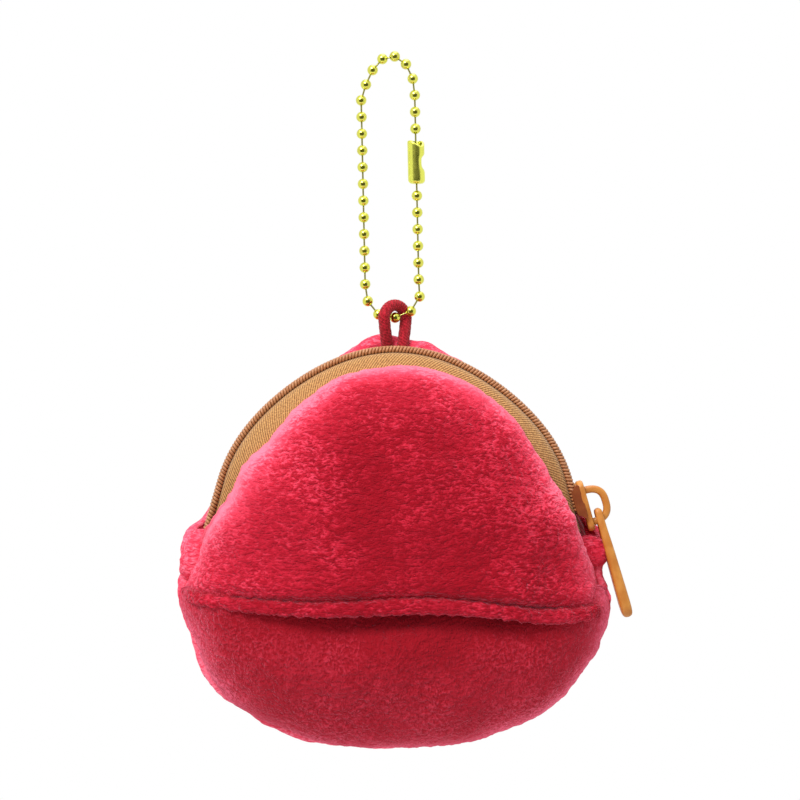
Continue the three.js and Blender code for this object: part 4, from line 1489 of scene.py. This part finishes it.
@dataclass
class Padding:
    """How deep the padded front and back are, from the plane of the zip."""

    front: Outline = field(default_factory=lambda: Outline(UPPER_EDGE + LOWER_RIGHT + LOWER_LEFT))
    back: Outline = field(default_factory=lambda: Outline(BACK_SHOULDER + LOWER_RIGHT + BACK_LOWER_LEFT))
    centre: Flat = (0.0, -8.0)
    front_depth: float = 20.0
    back_depth: float = 27.0
    power: float = 2.4
    half_opening: float = 6.5
    seam_stand: float = 0.6
    roll: float = 1.15
    skirt: Sequence[float] = (4.5, 3.0, 1.5)
    curl_rows: int = 10
    crown_lean: float = 1.1
    crown_roll: float = 2.1

    def stand(self, z: np.ndarray) -> np.ndarray:
        """How far a rim stands from the plane of the zip, at a height."""
        opened = (self.half_opening - self.seam_stand) * smoothstep(z, -8.0, 4.0)
        return self.seam_stand + opened + self.crown_lean * smoothstep(z, 36.5, 43.0)

    def far(self, outline: Outline, x: np.ndarray, z: np.ndarray) -> tuple[np.ndarray, np.ndarray]:
        """How far places are from the centre, and how far the outline is there."""
        across, up = x - self.centre[0], z - self.centre[1]
        return np.hypot(across, up), outline.reach(np.arctan2(up, across), self.centre)

    def pillow(self, outline: Outline, x: np.ndarray, z: np.ndarray, turn: np.ndarray) -> np.ndarray:
        """The share of the full depth at places, 0 at the rim and round its roll, 1 in the middle.

        Args:
            outline: The rim.
            x: The places across.
            z: The places up.
            turn: Their turn round the rolled edge.

        Returns:
            The shares.
        """
        off, rim = self.far(outline, x, z)
        share = np.where(turn < 0, 1.0, np.clip(off / rim, 0, 1))
        return np.sqrt(np.maximum(1 - share ** self.power, 0))

    def painted_sheen(self, outline: Outline, x: np.ndarray, z: np.ndarray, turn: np.ndarray) -> np.ndarray:
        """Painted sheen on the pile at places: most on the rim, fading in a few millimetres, then slowly.

        Args:
            outline: The rim.
            x: The places across.
            z: The places up.
            turn: Their turn round the rolled edge.

        Returns:
            How much painted sheen pales each, from 0 to 1.
        """
        off, rim = self.far(outline, x, z)
        inwards = np.maximum(rim - off, 0)
        fade = 0.5 * np.exp(-((inwards / 2.2) ** 1.3)) + 0.5 * np.exp(-inwards / 8.0)
        # Full painted sheen over most of the rolled edge; on the skirt behind it less, but enough to paint light into
        # the shade under the roll.
        return np.where(turn < 0, 0.3 + 0.7 * smoothstep(turn, -math.pi, -2.2), fade)

    def fan(
        self, outline: Outline, pole: Flat, angles: np.ndarray, rows: int, ring: bool
    ) -> tuple[np.ndarray, np.ndarray, np.ndarray, np.ndarray]:
        """Places from the rim to a pole, with a skirt behind the rim and its rolled edge first.

        Args:
            outline: The rim.
            pole: Where the rays meet.
            angles: The angle of each ray.
            rows: How many rows there are inside the rim.
            ring: Whether the rays go all round.

        Returns:
            x and z of each place, its turn round the rolled edge in radians, 0 inside it, and how far
            the roll brings it towards the zip's plane.
        """
        far = outline.reach(angles, pole)
        curl = np.linspace(-2.9, 0, self.curl_rows, endpoint=False)
        inside = 1 - np.linspace(0, 1, rows, endpoint=not ring) ** 1.5
        at_crown = smoothstep(pole[1] + far * np.sin(angles), 37.5, 42.0)
        roll = self.roll + (self.crown_roll - self.roll) * at_crown
        reach = np.vstack([
            far - 2 * roll - np.array(self.skirt)[:, None],
            far - roll * (1 - np.cos(curl))[:, None],
            far * inside[:, None],
        ])
        turns = np.concatenate([np.full(len(self.skirt), -math.pi), curl, np.zeros(rows)])
        turn = turns[:, None] * np.ones(len(angles))
        x, z = pole[0] + reach * np.cos(angles), pole[1] + reach * np.sin(angles)
        return x, z, turn, roll * np.sin(turn)


@dataclass
class FrontPanel:
    """The plush of the upper front, down to its folded and topstitched hem, and the lower front."""

    padding: Padding
    pole: Flat = (0.0, -15.0)
    lower_pole: Flat = (0.0, -29.0)
    stitch_line: Sequence[Flat] = (
        (-47.5, -12.6), (-43.6, -13.2), (-32.8, -14.1), (-19.9, -14.7), (-9.3, -14.5), (-1.0, -14.0),
        (7.6, -13.8), (16.0, -14.4), (25.5, -15.6), (32.4, -16.4), (39.6, -16.3), (45.6, -15.7),
        (47.5, -15.4),
    )
    hem_height: Sequence[Flat] = (
        (-47.5, 2.6), (-43.6, 2.9), (-32.8, 3.1), (-9.3, 3.5), (1.1, 3.7), (14.9, 3.5), (25.5, 3.3),
        (36.2, 3.5), (47.5, 3.0),
    )
    hem_profile: Sequence[Flat] = (
        (0.0, 0.0), (0.05, 0.45), (0.16, 1.0), (0.36, 1.3), (0.62, 1.4), (0.84, 1.2), (0.96, 0.65),
        (1.0, -0.3), (0.93, -1.6), (0.75, -2.6), (0.45, -3.2),
    )
    hem_painted_sheen: float = 0.05
    stitch: float = 2.1
    stitch_space: float = 0.7
    thread: float = 0.17
    crease: float = 1.3
    crease_width: float = 0.85
    bulge: float = 0.5
    lower_step: float = 2.5
    swell: float = 2.2
    recess: float = 2.2
    recess_height: float = 5.5
    rays: int = 300
    lower_rays: int = 360
    rows: int = 110
    lower_rows: int = 90

    def stitch_height(self, x: np.ndarray) -> np.ndarray:
        """Height of the hem's stitch line at a place across."""
        wobble = waves(x, (0.1, 1.7, 2.0), (0.07, 3.9, 0.0), (0.04, 7.3, 1.0))
        return np.interp(x, *through(self.stitch_line, 8).T) + wobble

    def hem_rows(self, rim: np.ndarray, normal: np.ndarray) -> np.ndarray:
        """The folded hem below the stitch line.

        Args:
            rim: Points of the stitch line from left to right.
            normal: The outward direction at each.

        Returns:
            Rows of points, from the stitch line round the fold and up behind it.
        """
        x = rim[:, 0]
        height = np.interp(x, *through(self.hem_height, 8).T)
        height = height + waves(x, (0.12, 2.1, 1.0), (0.07, 5.3, 2.0), (0.04, 9.7, 0.0))
        middle = 1 - smoothstep(np.abs(x), 41, 47.2)
        rows = [rim]
        for down, out in through(self.hem_profile, 5)[1:]:
            push = np.broadcast_to(out * (0.4 + 0.6 * middle) if out > 0 else out, x.shape)
            rows.append(rim - np.outer(height * down, (0, 0, 1.0)) + normal * push[:, None])
        return np.array(rows)

    def upper(self) -> tuple[np.ndarray, np.ndarray]:
        """The upper front down to its stitch line.

        Returns:
            Its points, and the painted sheen and painted light on each.
        """
        pad = self.padding
        angles = np.linspace(math.pi, 0, self.rays)
        x, z, turn, curl = pad.fan(pad.front, self.pole, angles, self.rows, False)
        z = z + (self.stitch_height(x) - self.pole[1]) * np.cos(angles) ** 4
        stand = pad.stand(z)
        y = -(stand + (pad.front_depth - stand) * pad.pillow(pad.front, x, z, turn) + curl)
        gap = z - self.stitch_height(x)
        fade = 1 - smoothstep(np.abs(x), 40, 47)
        y = y + self.crease * np.exp(-(gap / self.crease_width) ** 2) * (0.35 + 0.65 * fade)
        y = y - self.bulge * np.exp(-((gap - 3.2) / 2.2) ** 2) * fade
        # Painted light and shade in the edge value: less towards the bottom, more on the left and at the lower right
        # rim, and a little less across the middle.
        edge = pad.painted_sheen(pad.front, x, z, turn) * (0.45 + 0.55 * smoothstep(z, -16, 10))
        edge = edge * (1 - 0.12 * smoothstep(x, -10, 30)) + 0.14 * (1 - smoothstep(x, -36, -4))
        edge = edge + 0.32 * smoothstep(x, 34, 44) * (1 - smoothstep(z, -4, 8))
        edge = edge - 0.09 * smoothstep(x, -22, -4) * smoothstep(z, -8, 4) * (1 - smoothstep(z, 18, 28))
        return ruffled(np.stack([x, y, z], axis=-1), (0, 6, -12), 3.7, (
            (0.1, PLAIN, 1.0), (0.42, (0.6, 1, 1.3), 0.34), (1.2, (0.6, 1, 1.2), 0.2), (2.6, PLAIN, 0.1),
        )), edge

    def build(self) -> None:
        """Builds the upper front, the hem, its stitches and the lower front."""
        points, edge = self.upper()
        first = len(self.padding.skirt) + self.padding.curl_rows
        line = np.vstack([points[first:, 0], points[first:-1, -1][::-1]])
        turned = np.sign(line[:, 0]) * smoothstep(np.abs(line[:, 0]), 30, 47) * 1.6
        normal = unit(np.stack([turned, -np.ones(len(line)), np.zeros(len(line))], axis=1))
        hem = self.hem_rows(line, normal)
        layers = ((0.5, (0.7, 1, 1), 0.3), (1.3, PLAIN, 0.2), (2.4, PLAIN, 0.14))
        hem[1:] = ruffled(hem, (0, 6, -12), 9.1, layers)[1:]
        # The folded hem takes a small even amount of painted sheen.
        fold = Patch(hem, lie=hem + (0, 0, 40.0), edge=np.full(hem.shape[:2], self.hem_painted_sheen))
        piece = merge_close(build("front_plush_upper", Patch(points, edge=edge), fold), 0.02)
        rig.padded(piece, 0.8)
        nodes = ["front_panel_dome", "front_panel_fold", "front_hem"]
        keep(piece, Finish.PANEL, "plush", "lid", nodes, OPENING)
        self.stitches(line, normal)
        self.lower()

    def stitches(self, line: np.ndarray, normal: np.ndarray) -> None:
        """The topstitching in the hem's crease, a short thread for each stitch.

        Args:
            line: Points of the stitch line from left to right.
            normal: The outward direction at each.
        """
        steps = running(line)
        lift = (0.32 * np.sin(np.linspace(0, math.pi, 7)) - 0.16)[:, None]
        threads = []
        for start in np.arange(4.0, steps[-1] - 5.0, self.stitch + self.stitch_space):
            run = start + self.stitch * np.linspace(0, 1, 7)
            spot, out = (
                np.stack([np.interp(run, steps, along[:, axis]) for axis in range(3)], axis=1)
                for along in (line, normal)
            )
            threads.append(swept(spot + out * lift, self.thread, 6))
        keep(merge_close(build("hem_stitches", *threads)), Finish.THREAD, "plush", "purse")

    def lower(self) -> None:
        """The lower front, set back under the hem."""
        pad = self.padding
        top = ((x, -11.0) for x in (-38.0, -25.0, -12.0, 0.0, 12.0, 25.0, 38.0))
        outline = Outline([(-46.8, -12.6), *top, (46.4, -12.8), *LOWER_RIGHT, *LOWER_LEFT])
        angles = around(self.lower_rays)
        x, z, turn, curl = pad.fan(outline, self.lower_pole, angles, self.lower_rows, True)
        below = np.maximum(self.stitch_height(x) - 3.4 - z, 0)
        ends = smoothstep(np.abs(x), 20, 45)
        step = self.lower_step * (1 - 0.6 * ends) - self.swell * smoothstep(below, 0, 11)
        step = step + self.recess * np.exp(-below / self.recess_height) * smoothstep(x, -34, -4) * (1 - ends)
        full = (pad.front_depth - pad.seam_stand - step) * pad.pillow(pad.front, x, z, turn)
        points = ruffled(np.stack([x, -(pad.seam_stand + curl + full), z], axis=-1), (0, 6, -22), 21.3, (
            (0.09, PLAIN, 0.9), (0.5, (0.8, 1, 1), 0.3), (1.3, PLAIN, 0.2), (2.6, PLAIN, 0.1),
        ))
        # Painted sheen, a little more to the right, and painted shadow under the hem, which lowers the edge value
        # there.
        edge = pad.painted_sheen(pad.front, x, z, turn) * (0.66 + 0.2 * smoothstep(x, -30, 20))
        painted_hem_shadow = np.exp(-((below / self.recess_height) ** 2)) * (1 - smoothstep(np.abs(x), 28, 42))
        piece = build("front_plush_lower", Patch(points, ring=True, pole=True, edge=edge - 0.2 * painted_hem_shadow))
        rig.padded(piece, 0.75)
        keep(piece, Finish.LOWER, "plush", "purse", ["front_panel_lower"])


@dataclass
class BackPanel:
    """The plush of the back, gathered where the hang loop is sewn in."""

    padding: Padding
    rays: int = 420
    rows: int = 110

    def build(self) -> None:
        """Builds the back."""
        pad = self.padding
        x, z, turn, curl = pad.fan(pad.back, pad.centre, 2 * math.pi - around(self.rays), self.rows, True)
        stand = pad.stand(z)
        y = stand + (pad.back_depth - stand) * pad.pillow(pad.back, x, z, turn) + curl
        points = ruffled(np.stack([x, y, z], axis=-1), (0, -6, -10), 41.9, (
            (0.1, PLAIN, 1.0), (0.42, (0.6, 1, 1.2), 0.34), (1.2, (0.7, 1, 1.1), 0.16),
        ))
        # Painted sheen along the rim of the back, a little less at its crown.
        edge = pad.painted_sheen(pad.back, x, z, turn) * (0.7 - 0.1 * smoothstep(z, 30, 40))
        piece = build("back_plush", Patch(points, ring=True, pole=True, edge=edge))
        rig.padded(piece, 0.85)
        keep(piece, Finish.PANEL, "plush", "purse", ["back_panel"])


@dataclass
class EndTab:
    """A small plush tab that closes one end of the zip."""

    name: str
    x: float
    z: float
    half_height: float
    lean: float
    # How much painted sheen pales the whole tab.
    painted_sheen: float
    half_width: float = 3.8
    half_depth: float = 3.1
    squareness: float = 0.8
    end_squareness: float = 0.85

    def build(self) -> None:
        """Builds the tab."""
        polar, angle = np.linspace(0.04, math.pi - 0.04, 40)[:, None], around(48)
        sin, cos = np.sin(polar) ** self.squareness, np.cos(polar)
        wide, deep = (
            np.sign(part) * np.abs(part) ** self.squareness for part in (np.cos(angle), np.sin(angle))
        )
        up = np.sign(cos) * np.abs(cos) ** self.end_squareness * self.half_height * np.ones(48)
        across = self.x + sin * wide * self.half_width + self.lean * up
        points = np.stack([across, sin * deep * self.half_depth, self.z + up], axis=-1)
        points = ruffled(points, (self.x, 0, self.z), self.x, ((0.5, PLAIN, 0.3), (1.2, PLAIN, 0.18)))
        edge = np.full(up.shape, self.painted_sheen)
        tab = Patch(points[::-1], ring=True, pole=True, start_cap=True, edge=edge)
        piece = build(f"{self.name}_plush", tab)
        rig.padded(piece, 0.7)
        keep(piece, Finish.PANEL, "plush", "purse", [self.name])


@dataclass
class Inside:
    """The wadding and the lining behind the plush."""

    padding: Padding
    wadding_inset: float = 6.0
    wadding_rim: float = 5.0
    wadding_least: float = 1.2
    wadding_thickness: float = 2.6
    lining_inset: float = 9.6
    lining_rim: float = 6.6
    lining_stand: float = 2.1
    lining_least: float = 0.4
    lining_thickness: float = 0.5
    lining_side: float = 0.1
    lip: Sequence[float] = (1.9, 3.5, 5.1)
    widest: float = 44.9

    def places(
        self, side: int, inset: float, rim: float, stand_in: float, least: float, lip: Sequence[float]
    ) -> np.ndarray:
        """The places of one layer of one side.

        Args:
            side: -1 for the front, 1 for the back.
            inset: How far it lies inside the plush.
            rim: How far its rim lies inside the rim of the plush.
            stand_in: How far its rim lies nearer the zip's plane than the rim of the plush.
            least: How near the zip's plane it may come.
            lip: How far inside the rim of the plush it turns outwards to the zip's tape.

        Returns:
            Rows and columns of points.
        """
        pad = self.padding
        outline, full = (pad.front, pad.front_depth) if side < 0 else (pad.back, pad.back_depth)
        angles = around(120)[::-side]
        whole = np.minimum(outline.reach(angles, pad.centre), self.widest)
        share = np.cos(np.linspace(0, math.pi / 2, 28, endpoint=False))
        reach = np.vstack([whole - np.reshape(lip, (-1, 1)), (whole - rim) * share[:, None]])
        rise = np.concatenate([np.zeros(len(lip)), np.sqrt(1 - share ** pad.power)])
        x, z = pad.centre[0] + reach * np.cos(angles), pad.centre[1] + reach * np.sin(angles)
        stand = np.maximum(pad.stand(z) - stand_in, least)
        return np.stack([x, side * (stand + (full - inset - stand) * rise[:, None]), z], axis=-1)

    def declare(self, lining: bpy.types.Object, rests_on: str) -> None:
        """Declares a lining, before it is thickened, as a sheet of its own area.

        Args:
            lining: The lining.
            rests_on: The CAD node that it is sewn to.
        """
        area = sum(face.area for face in lining.data.polygons)
        LOG.info("%s: %.5f m2 of cloth", lining.name, area)
        flat = (self.lining_side, self.lining_side)
        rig.sheet(lining, flat=flat, held="stretched", rests_on=[rests_on], area=area)

    def build(self) -> None:
        """Builds both layers of both sides."""
        for side, name in SIDES:
            points = self.places(side, self.wadding_inset, self.wadding_rim, 0.0, self.wadding_least, ())
            points = ruffled(points, (0, 0, -10), self.wadding_inset, ((0.12, PLAIN, 0.5),))
            wadding = build(f"{name}_wadding_pad", Patch(points, ring=True, pole=True))
            points = self.places(
                side, self.lining_inset, self.lining_rim, self.lining_stand, self.lining_least, self.lip)
            lining = build(f"{name}_lining_cloth", Patch(points, ring=True, pole=True))
            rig.padded(wadding, 0.6)
            self.declare(lining, f"{name}_wadding")
            thickened(wadding, self.wadding_thickness)
            thickened(lining, self.lining_thickness)
            keep_half(wadding, side, Finish.WADDING, "wadding", f"{name}_wadding")
            keep_half(lining, side, Finish.LINING, "lining", f"{name}_lining")


@dataclass
class HangLoop:
    """The braided cord loop that the chain passes through."""

    radius: float = 1.3
    bend: float = 3.2
    rise: float = 9.15
    yaw: float = 41.0
    foot_spacing: float = 3.5
    behind_zip: float = 5.0
    zip_radius: float = 41.1
    sewn_in: float = 1.5
    braid_height: float = 0.045

    def path(self) -> np.ndarray:
        """The loop's middle line.

        Returns:
            Points from its left foot over its crown to its right foot.
        """
        middle, foot = self.zip_radius + self.rise - self.bend, self.zip_radius - self.sewn_in
        yaw, y, half = math.radians(self.yaw), self.behind_zip, self.foot_spacing / 2
        arms = []
        for angle in np.radians((180, 150, 120, 90, 60, 30, 0)):
            across, up = self.bend * math.cos(angle), self.bend * math.sin(angle)
            arms.append((across * math.cos(yaw), y + across * math.sin(yaw), middle + up))
        left, right = ([(x, y, foot), (x, y, foot + self.radius)] for x in (-half, half))
        return through([*left, *arms, *right[::-1]], 18)

    def build(self) -> None:
        """Builds the cord with its braid raised on it."""
        path = self.path()
        tube = swept(path, self.radius, 28)
        run, angle = tube.lie[..., 0], tube.lie[..., 1] / self.radius
        braid = np.sin(run * 5.2 + angle * 2) * np.sin(run * 5.2 - angle * 2)
        braid = (braid + 0.5 * np.sin(run * 13 + angle * 7))[..., None]
        middle = np.concatenate([path[:1], path, path[-1:]])[:, None]
        tube.points = middle + (tube.points - middle) * (1 + self.braid_height * braid)
        piece = merge_close(build("hang_loop_cord", tube))
        heights = (self.zip_radius, self.zip_radius + self.rise - self.bend)
        span = [(0, self.behind_zip, height) for height in heights]
        keep(piece, Finish.CORD, "cord", "chain_lowest", ["hang_loop"], span)


# Studio


@dataclass
class Studio:
    """Camera, lights, floor and the plain white surroundings."""

    lens: float = 135.0
    sensor: float = 36.0
    pixels_per_mm: float = 4.5
    middle_x: float = 1.11
    middle_z: float = 29.0
    floor_drop: float = 540.0
    floor_half: float = 450.0
    card_middle: Colour = (60.0, -780.0, -60.0)
    card_half_width: float = 900.0
    card_half_height: float = 640.0
    surround: float = 0.67

    def camera(self) -> None:
        """A level camera straight in front, so that the view is as wide as the photograph."""
        distance = IMAGE_SIDE / self.pixels_per_mm * self.lens / self.sensor
        data = bpy.data.cameras.new("camera")
        data.lens, data.sensor_width = self.lens, self.sensor
        data.clip_start, data.clip_end = 0.01, 20.0
        camera = placed("camera", data)
        camera.location = Vector((ZIP_MIDDLE + (self.middle_x, -distance, self.middle_z)) * MM)
        camera.rotation_euler = (math.pi / 2, 0, 0)
        bpy.context.scene.camera = camera

    def lamp(self, name: str, spot: Colour, size: float, power: float) -> None:
        """A soft square lamp that faces the purse.

        Args:
            name: Its name.
            spot: Its place, in metres from the middle of the zip's arc.
            size: Its side, in metres.
            power: Its power, in watts.
        """
        data = bpy.data.lights.new(name, "AREA")
        data.size, data.energy = size, power
        lamp = placed(name, data)
        lamp.location = Vector(ZIP_MIDDLE * MM) + Vector(spot)
        lamp.rotation_euler = (-Vector(spot)).to_track_quat("-Z", "Y").to_euler()

    def world(self) -> None:
        """White surroundings, plain where seen and softer where they light the purse."""
        world = bpy.data.worlds.new("surroundings")
        bpy.context.scene.world = world
        bench = Bench(world, "ShaderNodeOutputWorld")
        rays = bench.node("ShaderNodeLightPath").outputs
        camera, glossy, passed = (
            Wire(bench, rays[name]) for name in ("Is Camera Ray", "Is Glossy Ray", "Is Transmission Ray"))
        values = {"Value": camera.largest(glossy.largest(passed)), "To Min": self.surround}
        strength = bench.add("ShaderNodeMapRange", {}, values)
        bench.surface(bench.node("ShaderNodeBackground", {}, {"Color": (1, 1, 1), "Strength": strength}))

    def board(self, name: str, finish: Finish, middle: Any, side: Colour, up: Colour) -> bpy.types.Object:
        """A flat board of the stage, which isn't part of the purse.

        Args:
            name: Its name.
            finish: Its finish.
            middle: Its middle, from the hang point.
            side: Half its side.
            up: Half its height.

        Returns:
            The board.
        """
        middle, side, up = (np.array(part, float) * MM for part in (middle, side, up))
        corners = [middle - side - up, middle + side - up, middle + side + up, middle - side + up]
        mesh = bpy.data.meshes.new(name)
        mesh.from_pydata([corner.tolist() for corner in corners], [], [[0, 1, 2, 3]])
        made = placed(name, mesh)
        finish.on(made)
        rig.stage(made)
        return made

    def build(self) -> None:
        """Sets the camera, lamps, surroundings and floor, and a dark card that only mirrors see."""
        self.camera()
        self.world()
        self.lamp("key_lamp", (-0.42, -0.75, 0.8), 0.45, 12.2)
        self.lamp("top_lamp", (0.1, 0.15, 0.95), 0.6, 4.6)
        half = self.floor_half
        self.board("floor", Finish.FLOOR, (0, 0, -self.floor_drop), (half, 0, 0), (0, half, 0))
        side, up = (self.card_half_width, 0, 0), (0, 0, self.card_half_height)
        card = self.board("dark_card", Finish.DARK, ZIP_MIDDLE + self.card_middle, side, up)
        card.visible_camera = card.visible_diffuse = card.visible_shadow = False
        bpy.context.scene.view_settings.view_transform = "Standard"


def main() -> None:
    """Builds the purse, from its studio to its linings."""
    logging.basicConfig(level=logging.INFO, format="%(name)s: %(message)s")
    padding = Padding()
    subassemblies = (
        Studio(), BallChain(), HangLoop(), Zip(), Slider(), FrontPanel(padding), BackPanel(padding),
        EndTab("end_tab_left", x=-43.8, z=-5.4, half_height=5.8, lean=0.22, painted_sheen=0.6),
        EndTab("end_tab_right", x=43.4, z=-4.6, half_height=3.4, lean=-0.22, painted_sheen=0.36),
        Inside(padding),
    )
    for subassembly in subassemblies:
        subassembly.build()
    corners = {
        "cad": [list(corner) for corner in CAD_BOX],
        "visual": [list(corner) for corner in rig.bounds()],
    }
    with open("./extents.json", "w") as out:
        json.dump(corners, out)


if __name__ == "__main__":
    main()
